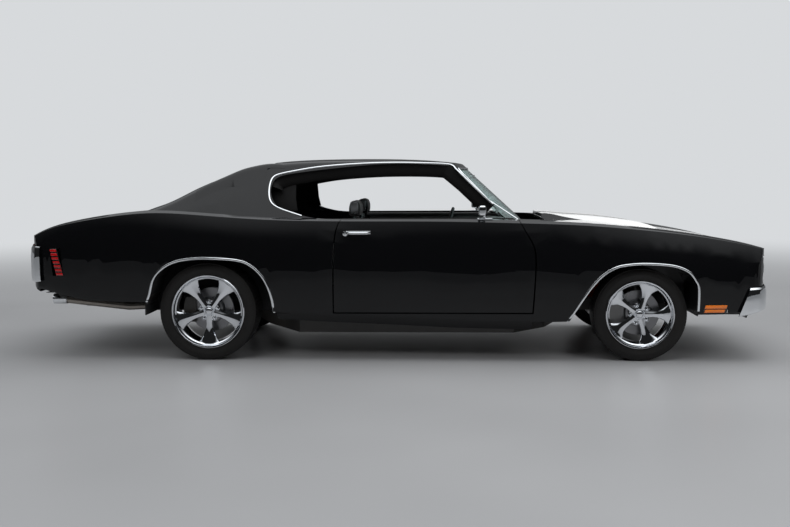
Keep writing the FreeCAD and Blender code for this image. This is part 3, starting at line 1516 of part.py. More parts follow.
def caliper(axle_x, hub_z, disc_diameter, bracket_y):
    """Brake caliper behind the axle, straddling the disc, with its bracket."""
    inner, outer = caliper_radii
    half = caliper_half_height
    body = side_block((axle_x - outer, axle_x - inner), caliper_y, (hub_z - half, hub_z + half))
    disc_radius = disc_diameter / 2 + caliper_clearance
    slot = cross_rod(axle_x, hub_z, disc_radius, -disc_y[1] - caliper_clearance, -disc_y[0] + caliper_clearance)
    small = caliper_bracket_half_height
    bracket = side_block((axle_x - inner - caliper_clearance, axle_x), bracket_y, (hub_z - small, hub_z + small))
    ring = cross_rod(axle_x, hub_z, outer, -caliper_y[1], -bracket_y[0])
    return fused([body.common(ring).cut(slot), bracket])


def rear_axle():
    """Axle housing with differential, springs, trailing arms and calipers."""
    hub_z = rear_tyre_diameter / 2
    tube = cross_rod(rear_axle_x, hub_z, axle_tube_radius, -axle_tube_end_y, axle_tube_end_y)
    casing = cross_rod(rear_axle_x, hub_z, differential_radius, -differential_half_width, differential_half_width)
    spindles = cross_rod(rear_axle_x, hub_z, spindle_radius, -spindle_end_y, spindle_end_y)
    pieces = [tube, casing, spindles]
    rail_z = rear_rail_path[3][2] - rail_height_size / 2
    spring = upright_rod(rear_axle_x, -rear_spring_y, rear_spring_radius, hub_z, rail_z - seat_gap)
    arm = beam(
        (
            (trailing_arm_x[0], trailing_arm_y, hub_z), (trailing_arm_x[1], trailing_arm_y, trailing_arm_front_z),
        ),
        trailing_arm_size, trailing_arm_size,
    )
    brake = caliper(rear_axle_x, hub_z, rear_disc_diameter, caliper_bracket_y)
    shock_start = vector(shock_foot[0], -shock_foot[1], shock_foot[2])
    turns = [2 * math.pi * index / pipe_sides for index in range(pipe_sides)]
    around = [shock_start + vector(shock_radius * math.cos(t), shock_radius * math.sin(t), 0) for t in turns]
    shock = prism(polygon(around), vector(shock_head[0], -shock_head[1], shock_head[2]) - shock_start)
    for piece in (spring, arm, brake, shock):
        pieces += both_sides(piece)
    return fused(pieces)


def flat_ring(profile, sides):
    """Ring of many flat sides round the width axis, from (radius, y) points that go round its section."""
    stretch = 1 / math.cos(math.pi / sides)
    rings = []
    for radius, y in profile:
        turns = [2 * math.pi * (index + 1 / 2) / sides for index in range(sides)]
        rings.append([vector(radius * stretch * math.sin(t), y, radius * stretch * math.cos(t)) for t in turns])
    faces = []
    for ring, following in zip(rings, rings[1:] + rings[:1]):
        for index in range(sides):
            after = (index + 1) % sides
            corners = [ring[index], ring[after], following[after], following[index]]
            faces.append(Part.Face(polygon(corners)))
    solid = Part.makeSolid(Part.makeShell(faces))
    return solid if solid.Volume > 0 else solid.reversed()


def ring_at(profile, sides, centre):
    solid = flat_ring(profile, sides)
    solid.translate(centre)
    return solid


def flat_rod(x, z, radius, sides, y0, y1):
    """Bar of many flat sides along the width of the car."""
    stretch = radius / math.cos(math.pi / sides)
    turns = [2 * math.pi * (index + 1 / 2) / sides for index in range(sides)]
    wire = polygon([vector(x + stretch * math.sin(t), y0, z + stretch * math.cos(t)) for t in turns])
    return prism(wire, vector(0, y1 - y0, 0))


def road_wheel(axle_x, hub_z, track, width, rim_diameter, disc_diameter):
    """Right wheel with five spokes, hub, lug nuts and brake disc."""
    middle = -track / 2
    centre = vector(axle_x, 0, hub_z)
    rim = rim_diameter / 2
    out = middle - (width - rim_narrowing) / 2
    inward = middle + (width - rim_narrowing) / 2
    face = out + rim_lip_recess
    barrel = ring_at(
        (
            (rim, out), (rim, inward), (rim - rim_wall, inward), (rim - 2 * rim_wall, face + spoke_thickness),
            (rim - 2 * rim_wall, face), (rim - rim_wall, out),
        ),
        ring_sides, centre,
    )
    hub = flat_rod(axle_x, hub_z, hub_radius, hub_sides, face, -hub_y + spoke_thickness)
    pieces = [barrel, hub]
    root = hub_radius - spoke_tip_inset
    tip = rim - rim_lip_width - spoke_tip_inset / 2
    for index in range(spoke_count):
        narrow = spoke_root_width / 2
        wide = spoke_tip_width / 2
        spoke = prism(polygon([
            vector(-narrow, face, root), vector(narrow, face, root), vector(wide, face, tip), vector(-wide, face, tip),
        ]), vector(0, spoke_thickness, 0))
        spoke.rotate(vector(0, 0, 0), vector(0, 1, 0), 360 / spoke_count * index)
        spoke.translate(centre)
        pieces.append(spoke)
    pieces.append(flat_rod(axle_x, hub_z, hub_cap_radius, hub_sides, face - cap_height, face))
    for index in range(lug_count):
        angle = 2 * math.pi * (index + 1 / 2) / lug_count
        x = axle_x + lug_circle_diameter / 2 * math.sin(angle)
        z = hub_z + lug_circle_diameter / 2 * math.cos(angle)
        pieces.append(flat_rod(x, z, lug_radius, 6, face - lug_length / 2, face))
    pieces.append(flat_rod(axle_x, hub_z, disc_diameter / 2, ring_sides, -disc_y[1], -disc_y[0]))
    pieces.append(flat_rod(axle_x, hub_z, disc_hat_radius, hub_sides, -hub_y, -disc_y[1] + sheet))
    pieces.append(flat_rod(axle_x, hub_z, hub_radius - sheet, hub_sides, face + sheet, -hub_y + sheet))
    bore = cross_rod(axle_x, hub_z, spindle_radius + bearing_clearance, -hub_bore_end_y, inward)
    return fused(pieces).cut(bore)


def tyre(axle_x, hub_z, track, width, rim_diameter):
    """Right tyre: hollow carcass with rounded shoulders."""
    middle = -track / 2
    centre = vector(axle_x, 0, hub_z)
    inner = rim_diameter / 2 + seat_gap
    outer = hub_z
    wall = tyre_wall_thickness
    half = width / 2
    bead = half - rim_narrowing
    height = outer - inner
    points = [
        (inner, middle - bead), (inner + height / 2, middle - half),
        (outer - height / 10, middle - half + height / 9), (outer, middle - half + height / 3),
        (outer, middle + half - height / 3), (outer - height / 10, middle + half - height / 9),
        (inner + height / 2, middle + half), (inner, middle + bead), (inner, middle + bead - wall),
        (outer - tyre_tread_thickness, middle + half - height / 3), (outer - tyre_tread_thickness, middle - half + height / 3),
        (inner, middle - bead + wall),
    ]
    return ring_at(points, tyre_sides, centre)


def dashboard():
    """Dashboard across the cabin, with the steering column."""
    panel = side_prism(outline(dash_outline), -dash_half_width, dash_half_width)
    panel = panel.cut(windscreen_block(-glass_recess - glass_thickness - seat_gap))
    start = vector(column_foot[0], driver_y, column_foot[1])
    end = vector(wheel_centre[0], driver_y, wheel_centre[1])
    run = (end - start).normalize()
    stop = end - run * (steering_hub_depth / 2 + column_gap)
    column = rod(start, stop, column_radius)
    stub = rod(stop, end, hinge_pin_radius)
    return fused([panel, column, stub])


def steering_wheel():
    """Rim, hub and three spokes, square to the column."""
    turns = [2 * math.pi * index / hub_sides * 2 for index in range(hub_sides // 2)]
    section_points = [(steering_wheel_radius + steering_rim_radius * math.cos(t), steering_rim_radius * math.sin(t)) for t in turns]
    rim = flat_ring(section_points, ring_sides)
    rim.rotate(vector(0, 0, 0), vector(1, 0, 0), 90)
    hub = Part.makeCylinder(steering_hub_radius, steering_hub_depth, vector(0, 0, -steering_hub_depth / 2))
    pieces = [rim, hub]
    for index in range(3):
        half = steering_spoke_thickness / 2
        spoke = box(0, steering_wheel_radius, -steering_spoke_width / 2, steering_spoke_width / 2, -half, half)
        spoke.rotate(vector(0, 0, 0), vector(0, 0, 1), 90 * index - 90)
        pieces.append(spoke)
    bore = Part.makeCylinder(
        hinge_pin_radius + hinge_bore_clearance, steering_hub_depth / 2 + column_gap / 2, vector(0, 0, -steering_hub_depth / 2)
    )
    wheel = fused(pieces).cut(bore)
    rise = wheel_centre[1] - column_foot[1]
    run = column_foot[0] - wheel_centre[0]
    wheel.rotate(vector(0, 0, 0), vector(0, 1, 0), -math.degrees(math.atan2(run, rise)))
    wheel.translate(vector(wheel_centre[0], driver_y, wheel_centre[1]))
    return wheel


def console():
    tray = centred(console_x, console_half_width, console_z)
    lever = upright_rod(shifter_x, 0, shifter_radius, console_z[1], shifter_top_z)
    knob = upright_rod(shifter_x, 0, shifter_knob_radius, shifter_top_z - shifter_knob_radius, shifter_top_z)
    return fused([tray, lever, knob])


def front_seat(y):
    """Bucket seat with headrest, on its base."""
    cushion = side_prism(outline(seat_cushion), y - seat_half_width, y + seat_half_width)
    back = side_prism(outline(seat_back), y - seat_half_width, y + seat_half_width)
    base = side_prism(outline(seat_base), y - seat_base_half_width, y + seat_base_half_width)
    head = side_prism(outline(headrest), y - headrest_half_width, y + headrest_half_width)
    posts = []
    mid_x = (seat_back[3][0] + seat_back[5][0]) / 2
    top = vector((headrest[2][0] + headrest[4][0]) / 2, 0, headrest[2][1] - headrest_post_radius)
    foot = vector(mid_x, 0, seat_back[2][1])
    for way in (-1, 1):
        across = vector(0, y + way * headrest_post_y, 0)
        posts.append(rod(foot + across, foot + across + (top - foot) * 0.7, headrest_post_radius))
    return fused([cushion, back, base, head] + posts)


def rear_seat():
    cushion = side_prism(outline(rear_cushion), -rear_seat_half_width, rear_seat_half_width)
    back = side_prism(outline(rear_back), -rear_seat_half_width, rear_seat_half_width)
    return fused([cushion, back])


def pipe(path, radius, widening):
    """Pipe of flat sides carried along the car through (x, y, z) centres, on the right side, wider than high."""
    turns = [2 * math.pi * index / pipe_sides for index in range(pipe_sides)]
    wires = []
    for x, y, z in path:
        wide = radius * widening
        wires.append(polygon([vector(x, -y + wide * math.cos(t), z + radius * math.sin(t)) for t in turns]))
    return Part.makeLoft(wires, True, True)


def exhaust():
    """Pipe, muffler and tip of the right side."""
    y, z = exhaust_path[1][1:]
    muffler = pipe(((muffler_x[1], y, z), (muffler_x[0], y, z)), muffler_radius, muffler_widening)
    last = vector(exhaust_path[-1][0], -exhaust_path[-1][1], exhaust_path[-1][2])
    end = vector(tip_end_x, last.y, last.z)
    tip = rod(last, end, tip_radius)
    hollow = rod((last + end) / 2, end, tip_radius - tip_wall)
    return fused([pipe(exhaust_path, pipe_radius, 1), muffler, tip]).cut(hollow)


def wiper(y):
    """Wiper arm and blade, lying along the foot of the windscreen."""
    low, high = wiper_z
    x0, x1 = wiper_x
    boss = upright_rod(x1, y, 2 * wiper_radius, low, high)
    arm_z = high - 2 * wiper_radius
    arm = rod(vector(x1, y, arm_z), vector(x0, y + wiper_length, arm_z), wiper_radius)
    return fused([boss, arm])


def build():
    """Every node of the car by name."""
    body = lower_body(0, 0, False)
    grown = lower_body(-seat_gap, 0, False)
    core = lower_body(skin_thickness / 2, 0, True)
    inner = lower_body(skin_thickness, overrun, True)
    outer_shell = body.fuse(greenhouse(0, False))
    skin = outer_shell.cut(inner.fuse(greenhouse(roof_thickness, True)))
    skin = skin.cut(side_prism(side_window_wire(), -overall_width, overall_width))
    skin = skin.cut(windscreen_window(0).common(windscreen_block(-leaned_reach / 5)).cut(windscreen_block(seam_gap)))
    skin = skin.cut(backlight_window(0).common(backlight_block(leaned_reach / 2, overrun)).cut(backlight_block(-seam_gap, overrun)))
    front_hub_z = front_tyre_diameter / 2
    rear_hub_z = rear_tyre_diameter / 2
    right_fender = front_fender(skin, core)
    right_door = door(body)
    right_trim = door_trim(grown)
    front_wheel = road_wheel(front_axle_x, front_hub_z, track_front, front_tyre_width, front_rim_diameter, front_disc_diameter)
    rear_wheel = road_wheel(rear_axle_x, rear_hub_z, track_rear, rear_tyre_width, rear_rim_diameter, rear_disc_diameter)
    front_tyre = tyre(front_axle_x, front_hub_z, track_front, front_tyre_width, front_rim_diameter)
    rear_tyre = tyre(rear_axle_x, rear_hub_z, track_rear, rear_tyre_width, rear_rim_diameter)
    right_knuckle = knuckle()
    lamps = []
    for y in lamp_offsets_y:
        lamps += both_sides(headlamp(y))
    tank = centred(tank_x, tank_half_width, tank_z)
    return {
        "body_shell": body_shell(skin, core, both_sides(right_fender)),
        "front_fenders": both_sides(right_fender),
        "nose_panel": nose_panel(skin),
        "hood": hood_panel(body, lower_body(hood_thickness, overrun, True)),
        "deck_lid": deck_lid(body, lower_body(deck_thickness, overrun, True)),
        "door_right": right_door,
        "door_left": mirrored(right_door),
        "door_trim_right": right_trim,
        "door_trim_left": [mirrored(piece) for piece in right_trim],
        "grille": grille(),
        "headlamps": lamps,
        "front_bumper": front_bumper(),
        "rear_bumper": rear_bumper(),
        "tail_lamps": both_sides(tail_lamp()),
        "front_markers": both_sides(skin.common(marker_block(seat_gap))),
        "rear_markers": both_sides(skin.common(rear_marker_block(seat_gap))),
        "windscreen": windscreen(),
        "backlight": backlight(),
        "floor_tub": floor_tub(),
        "chassis_frame": chassis_frame(),
        "engine_bay": engine_bay(),
        "engine_block": engine_block(),
        "exhaust_system": both_sides(exhaust()),
        "fuel_tank": tank,
        "front_suspension": front_suspension(),
        "rear_axle": rear_axle(),
        "dashboard": dashboard(),
        "steering_wheel": steering_wheel(),
        "console": console(),
        "seat_right": front_seat(-driver_y),
        "seat_left": front_seat(driver_y),
        "rear_seat": rear_seat(),
        "wipers": [wiper(y) for y in wiper_pivots_y],
        "knuckle_right": right_knuckle,
        "knuckle_left": mirrored(right_knuckle),
        "wheel_front_right": front_wheel,
        "wheel_front_left": mirrored(front_wheel),
        "wheel_rear_right": rear_wheel,
        "wheel_rear_left": mirrored(rear_wheel),
        "tyre_front_right": front_tyre,
        "tyre_front_left": mirrored(front_tyre),
        "tyre_rear_right": rear_tyre,
        "tyre_rear_left": mirrored(rear_tyre),
    }


os.makedirs("parts", exist_ok=True)
for name, shape in build().items():
    node = Part.makeCompound(shape) if isinstance(shape, list) else shape
    node.exportStep("parts/" + name + ".step")
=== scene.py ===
import logging
import math
from dataclasses import dataclass
from enum import Enum
from typing import Iterable, Optional, Sequence

import bmesh
import bpy
from bmesh.types import BMEdge, BMesh, BMVert
from bpy.types import ID, Material, Mesh, Node, NodeSocket, Object
from mathutils import Matrix, Vector
from mathutils.bvhtree import BVHTree


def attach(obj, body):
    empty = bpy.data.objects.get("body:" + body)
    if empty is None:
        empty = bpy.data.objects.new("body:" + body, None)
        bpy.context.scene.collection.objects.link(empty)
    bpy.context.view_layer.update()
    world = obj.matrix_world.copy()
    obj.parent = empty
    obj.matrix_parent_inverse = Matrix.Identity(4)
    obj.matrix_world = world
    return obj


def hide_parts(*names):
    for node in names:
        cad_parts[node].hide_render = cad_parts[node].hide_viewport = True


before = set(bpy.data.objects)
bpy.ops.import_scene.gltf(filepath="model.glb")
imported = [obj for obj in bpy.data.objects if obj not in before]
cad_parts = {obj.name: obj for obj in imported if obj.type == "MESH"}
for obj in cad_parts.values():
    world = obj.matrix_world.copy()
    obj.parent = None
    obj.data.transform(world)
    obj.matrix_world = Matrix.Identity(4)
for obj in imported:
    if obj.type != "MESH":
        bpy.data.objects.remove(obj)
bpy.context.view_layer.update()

log = logging.getLogger("muscle_car")
MM = 0.001
Point = tuple[float, float]
Place = tuple[float, float, float]
Colour = tuple[float, float, float]
Station = tuple[Vector, Vector]
Bar = tuple[float, float, float, float, float]

FRONT_AXLE_X = 1.6145
REAR_AXLE_X = -1.2305
CAR = "car_body"
FORWARD, BACKWARD = 1, -1
FRONT_WHEEL = {
    "end": "front", "axle_x": FRONT_AXLE_X, "hub_z": 0.306, "track": 1.530, "width": 0.228, "rim": 0.216,
    "disc": 0.296, "first_spoke": 18.0,
}
REAR_WHEEL = {
    "end": "rear", "axle_x": REAR_AXLE_X, "hub_z": 0.325, "track": 1.520, "width": 0.258, "rim": 0.236,
    "disc": 0.296, "first_spoke": 36.0,
}
REAR_ARCH_REACH = 0.449
REAR_ARCH_SHARES = (
    (1.0, 0.62), (0.948, 0.960), (0.841, 1.214), (0.660, 1.396), (0.451, 1.474), (0.028, 1.503),
    (-0.255, 1.488), (-0.469, 1.439), (-0.643, 1.339), (-0.761, 1.198), (-0.832, 0.955), (-0.905, 0.80),
)
OUTSIDE_X = 3.0
CABIN_X = 0.20
MIRROR_Y = Matrix.Diagonal((1, -1, 1, 1))


class Pattern(Enum):
    """Kind of fine relief that a surface has."""

    GRAIN = "grain"
    LEATHER = "leather"
    BRUSHED_X = "brushed along the car"
    RIBS_UP = "upright ribs"


class Side(Enum):
    """Side of the car: the sign of y."""

    RIGHT = -1
    LEFT = 1

    @property
    def word(self) -> str:
        """Returns the side's name as the nodes spell it."""
        return self.name.lower()


class Nodes:
    """A node tree under construction, of a material or of the world."""

    def __init__(self, owner: ID, main: str) -> None:
        """Starts the tree.

        Args:
            owner: the material or world.
            main: name of the node that everything leads to.
        """
        owner.use_nodes = True
        self.owner = owner
        self.tree = owner.node_tree
        self.main = self.tree.nodes[main]
        self.coordinates = self.add("ShaderNodeTexCoord")

    def add(self, kind: str, **settings: object) -> Node:
        """Adds a node.

        Args:
            kind: Blender's name of the node type.
            **settings: properties of the node.
        Returns:
            The new node.
        """
        node = self.tree.nodes.new(kind)
        for key, value in settings.items():
            setattr(node, key, value)
        return node

    def link(self, output: NodeSocket, target: NodeSocket) -> None:
        """Joins an output to an input."""
        self.tree.links.new(output, target)

    def set(self, **values: object) -> None:
        """Sets inputs of the main node, named with underscores for spaces.

        Args:
            **values: a socket, which is linked, or a plain value.
        """
        for name, value in values.items():
            target = self.main.inputs[name.replace("_", " ")]
            if isinstance(value, NodeSocket):
                self.link(value, target)
            else:
                target.default_value = value

    def texture(
        self, kind: str, scale: float, stretch: Sequence[float] = (1, 1, 1), **settings: object
    ) -> Node:
        """Adds a texture that reads object coordinates in metres.

        Args:
            kind: node type of the texture.
            scale: its scale.
            stretch: how the coordinates are stretched along x, y and z.
            **settings: properties of the texture node.
        Returns:
            The texture node.
        """
        mapping = self.add("ShaderNodeMapping")
        mapping.inputs["Scale"].default_value = stretch
        self.link(self.coordinates.outputs["Object"], mapping.inputs["Vector"])
        node = self.add(kind, **settings)
        node.inputs["Scale"].default_value = scale
        self.link(mapping.outputs["Vector"], node.inputs["Vector"])
        return node

    def noise(self, scale: float, detail: float = 2.0, stretch: Sequence[float] = (1, 1, 1)) -> NodeSocket:
        """Adds a noise texture and returns the socket of its value."""
        node = self.texture("ShaderNodeTexNoise", scale, stretch)
        node.inputs["Detail"].default_value = detail
        return node.outputs["Fac"]

    def math(self, operation: str, first: object, second: object) -> NodeSocket:
        """Adds a math node.

        Args:
            operation: Blender's name of the operation.
            first: a socket or a number.
            second: a socket or a number.
        Returns:
            The result's socket.
        """
        node = self.add("ShaderNodeMath", operation=operation)
        for socket, value in zip(node.inputs, (first, second)):
            if isinstance(value, NodeSocket):
                self.link(value, socket)
            else:
                socket.default_value = value
        return node.outputs[0]

    def spread(self, value: NodeSocket, low: float, high: float) -> NodeSocket:
        """Maps a value from 0..1 to low..high and returns the result's socket."""
        return self.mapped(value, (0.0, 1.0), (low, high), "LINEAR")

    def mapped(
        self, value: NodeSocket, source: Point, target: Point = (0.0, 1.0), curve: str = "SMOOTHSTEP",
    ) -> NodeSocket:
        """Maps a value from one range to another.

        Args:
            value: the value's socket.
            source: (from, to) of the value.
            target: (from, to) of the result.
            curve: Blender's name of the way between.
        Returns:
            The result's socket.
        """
        node = self.add("ShaderNodeMapRange", interpolation_type=curve)
        for name, number in zip(("From Min", "From Max", "To Min", "To Max"), (*source, *target)):
            node.inputs[name].default_value = number
        self.link(value, node.inputs["Value"])
        return node.outputs["Result"]

    def part(self, vector: NodeSocket, axis: str) -> NodeSocket:
        """Returns the socket of a vector's X, Y or Z."""
        node = self.add("ShaderNodeSeparateXYZ")
        self.link(vector, node.inputs[0])
        return node.outputs[axis]

    def facing(self, axis: str) -> NodeSocket:
        """Returns the socket of how far a face looks along an axis."""
        return self.part(self.add("ShaderNodeNewGeometry").outputs["True Normal"], axis)

    def seen_directly(self) -> NodeSocket:
        """Returns a socket that is 1 for the camera and for what is seen through glass."""
        path = self.add("ShaderNodeLightPath")
        return self.math("MAXIMUM", path.outputs["Is Camera Ray"], path.outputs["Is Transmission Ray"])

    def mix(self, factor: NodeSocket, low: object, high: object) -> NodeSocket:
        """Mixes two colours, given as colours or sockets, and returns the result's socket."""
        node = self.add("ShaderNodeMix", data_type="RGBA")
        self.link(factor, node.inputs["Factor"])
        for name, value in (("A", low), ("B", high)):
            socket = next(s for s in node.inputs if s.name == name and s.type == "RGBA")
            if isinstance(value, NodeSocket):
                self.link(value, socket)
            else:
                socket.default_value = (*value, 1.0)
        return next(s for s in node.outputs if s.type == "RGBA")

    def bump(self, height: NodeSocket, depth: float, strength: float = 1.0) -> None:
        """Adds relief of a depth in metres to the main shader."""
        node = self.add("ShaderNodeBump")
        node.inputs["Strength"].default_value = strength
        node.inputs["Distance"].default_value = depth
        self.link(height, node.inputs["Height"])
        self.set(Normal=node.outputs["Normal"])


def shader_named(name: str) -> Nodes:
    """Starts a material with one principled shader."""
    return Nodes(bpy.data.materials.new(name), "Principled BSDF")


@dataclass(frozen=True)
class Surface:
    """A finish with its own colour drift, gloss drift and fine relief.

    Sizes are in metres. Drift is how far colour or roughness wanders from its own value.
    """

    name: str
    colour: Colour
    roughness: float
    metallic: float = 0.0
    coat: float = 0.0
    colour_drift: float = 0.15
    gloss_drift: float = 0.06
    drift_scale: float = 9.0
    relief: float = 0.00004
    relief_scale: float = 700.0
    pattern: Pattern = Pattern.GRAIN
    transmission: float = 0.0
    ior: float = 1.5
    dust: float = 0.0
    sheen: float = 0.0
    specular: float = 0.5
    dust_colour: Colour = (0.24, 0.21, 0.18)

    def relief_height(self, shader: Nodes) -> NodeSocket:
        """Adds the texture of the fine relief and returns its height socket."""
        scale = self.relief_scale
        if self.pattern is Pattern.LEATHER:
            return shader.texture("ShaderNodeTexVoronoi", scale, feature="SMOOTH_F1").outputs["Distance"]
        if self.pattern is Pattern.BRUSHED_X:
            return shader.noise(scale, stretch=(0.04, 1, 1))
        if self.pattern is Pattern.RIBS_UP:
            return shader.texture("ShaderNodeTexWave", scale, bands_direction="Y").outputs["Fac"]
        return shader.noise(scale, 3.0)

    def build(self) -> Material:
        """Returns the material."""
        shader = shader_named(self.name)
        shader.set(
            Metallic=self.metallic, Coat_Weight=self.coat, Coat_Roughness=0.03, IOR=self.ior,
            Transmission_Weight=self.transmission, Sheen_Weight=self.sheen, Specular_IOR_Level=self.specular,
        )
        low = tuple(channel * (1 - self.colour_drift) for channel in self.colour)
        high = tuple(min(channel * (1 + self.colour_drift), 1.0) for channel in self.colour)
        colour = shader.mix(shader.noise(self.drift_scale, 5.0), low, high)
        if self.dust:
            amount = shader.math("MULTIPLY", shader.noise(3.0, 8.0), self.dust)
            colour = shader.mix(amount, colour, self.dust_colour)
        smudge = shader.noise(self.drift_scale * 2.3)
        dull = shader.spread(
            smudge, max(self.roughness - self.gloss_drift, 0.0), self.roughness + self.gloss_drift
        )
        shader.set(Base_Color=colour, Roughness=dull)
        shader.bump(self.relief_height(shader), self.relief)
        return shader.owner


@dataclass(frozen=True)
class Paint:
    """Gloss body paint, with white bands where the panel has them and cloth lining on faces inside the cabin.

    Bands are (from, to) distances from the middle of the car, in metres.
    """

    name: str
    colour: Colour = (0.0024, 0.0025, 0.0029)
    band_colour: Colour = (0.69, 0.69, 0.685)
    bands: tuple[Point, ...] = ()
    band_start: float = 0.0
    band_facing: float = 0.15
    band_coat: float = 0.12
    lined: bool = False
    lining_colour: Colour = (0.016, 0.016, 0.017)
    lining_facing: float = -0.12
    lining_from: float = 0.94

    def band_mask(self, shader: Nodes) -> NodeSocket:
        """Returns a socket that is 1 on the white bands and 0 elsewhere."""
        across = shader.math("ABSOLUTE", shader.part(shader.coordinates.outputs["Object"], "Y"), 0.0)
        total: object = 0.0
        for inner, outer in self.bands:
            inside = shader.math("GREATER_THAN", across, inner)
            within = shader.math("LESS_THAN", across, outer)
            total = shader.math("MAXIMUM", shader.math("MULTIPLY", inside, within), total)
        along = shader.part(shader.coordinates.outputs["Object"], "X")
        ahead = shader.math("GREATER_THAN", along, self.band_start)
        upward = shader.math("GREATER_THAN", shader.facing("Z"), self.band_facing)
        return shader.math("MULTIPLY", shader.math("MULTIPLY", total, ahead), upward)

    def lining_mask(self, shader: Nodes) -> NodeSocket:
        """Returns a socket that is 1 on faces that look down into the cabin, under the roof and pillars."""
        downward = shader.math("LESS_THAN", shader.facing("Z"), self.lining_facing)
        height = shader.part(shader.coordinates.outputs["Object"], "Z")
        return shader.math("MULTIPLY", downward, shader.math("GREATER_THAN", height, self.lining_from))

    def build(self) -> Material:
        """Returns the material."""
        shader = shader_named(self.name)
        shader.set(Coat_Weight=1.0, Coat_Roughness=0.012, Coat_IOR=1.37, Specular_IOR_Level=0.04)
        flake = shader.noise(1400.0)
        colour = shader.mix(flake, self.colour, tuple(channel * 1.5 for channel in self.colour))
        if self.bands:
            band = self.band_mask(shader)
            colour = shader.mix(band, colour, self.band_colour)
            shader.set(Coat_Weight=shader.spread(band, 1.0, self.band_coat))
        rough = shader.spread(shader.noise(2.2), 0.16, 0.24)
        if self.lined:
            mask = self.lining_mask(shader)
            colour = shader.mix(mask, colour, self.lining_colour)
            rough = shader.math("MAXIMUM", rough, shader.math("MULTIPLY", mask, 0.85))
        shader.set(Base_Color=colour, Roughness=rough)
        shader.bump(shader.noise(260.0), 0.000006, 0.6)
        return shader.owner


@dataclass(frozen=True)
class Floorpan:
    """Sheet metal that is carpeted on the faces seen inside the cabin and sealed black below."""

    name: str = "floor_sheet"

    def build(self) -> Material:
        """Returns the material."""
        shader = shader_named(self.name)
        up = shader.math("GREATER_THAN", shader.facing("Z"), -0.3)
        pile = shader.noise(900.0, 6.0)
        carpet = shader.mix(pile, (0.008, 0.008, 0.009), (0.032, 0.032, 0.034))
        sealer = shader.mix(shader.noise(6.0, 8.0), (0.012, 0.012, 0.012), (0.05, 0.046, 0.042))
        shader.set(Base_Color=shader.mix(up, sealer, carpet), Roughness=shader.spread(up, 0.55, 0.95))
        shader.bump(pile, 0.0012, 0.7)
        return shader.owner


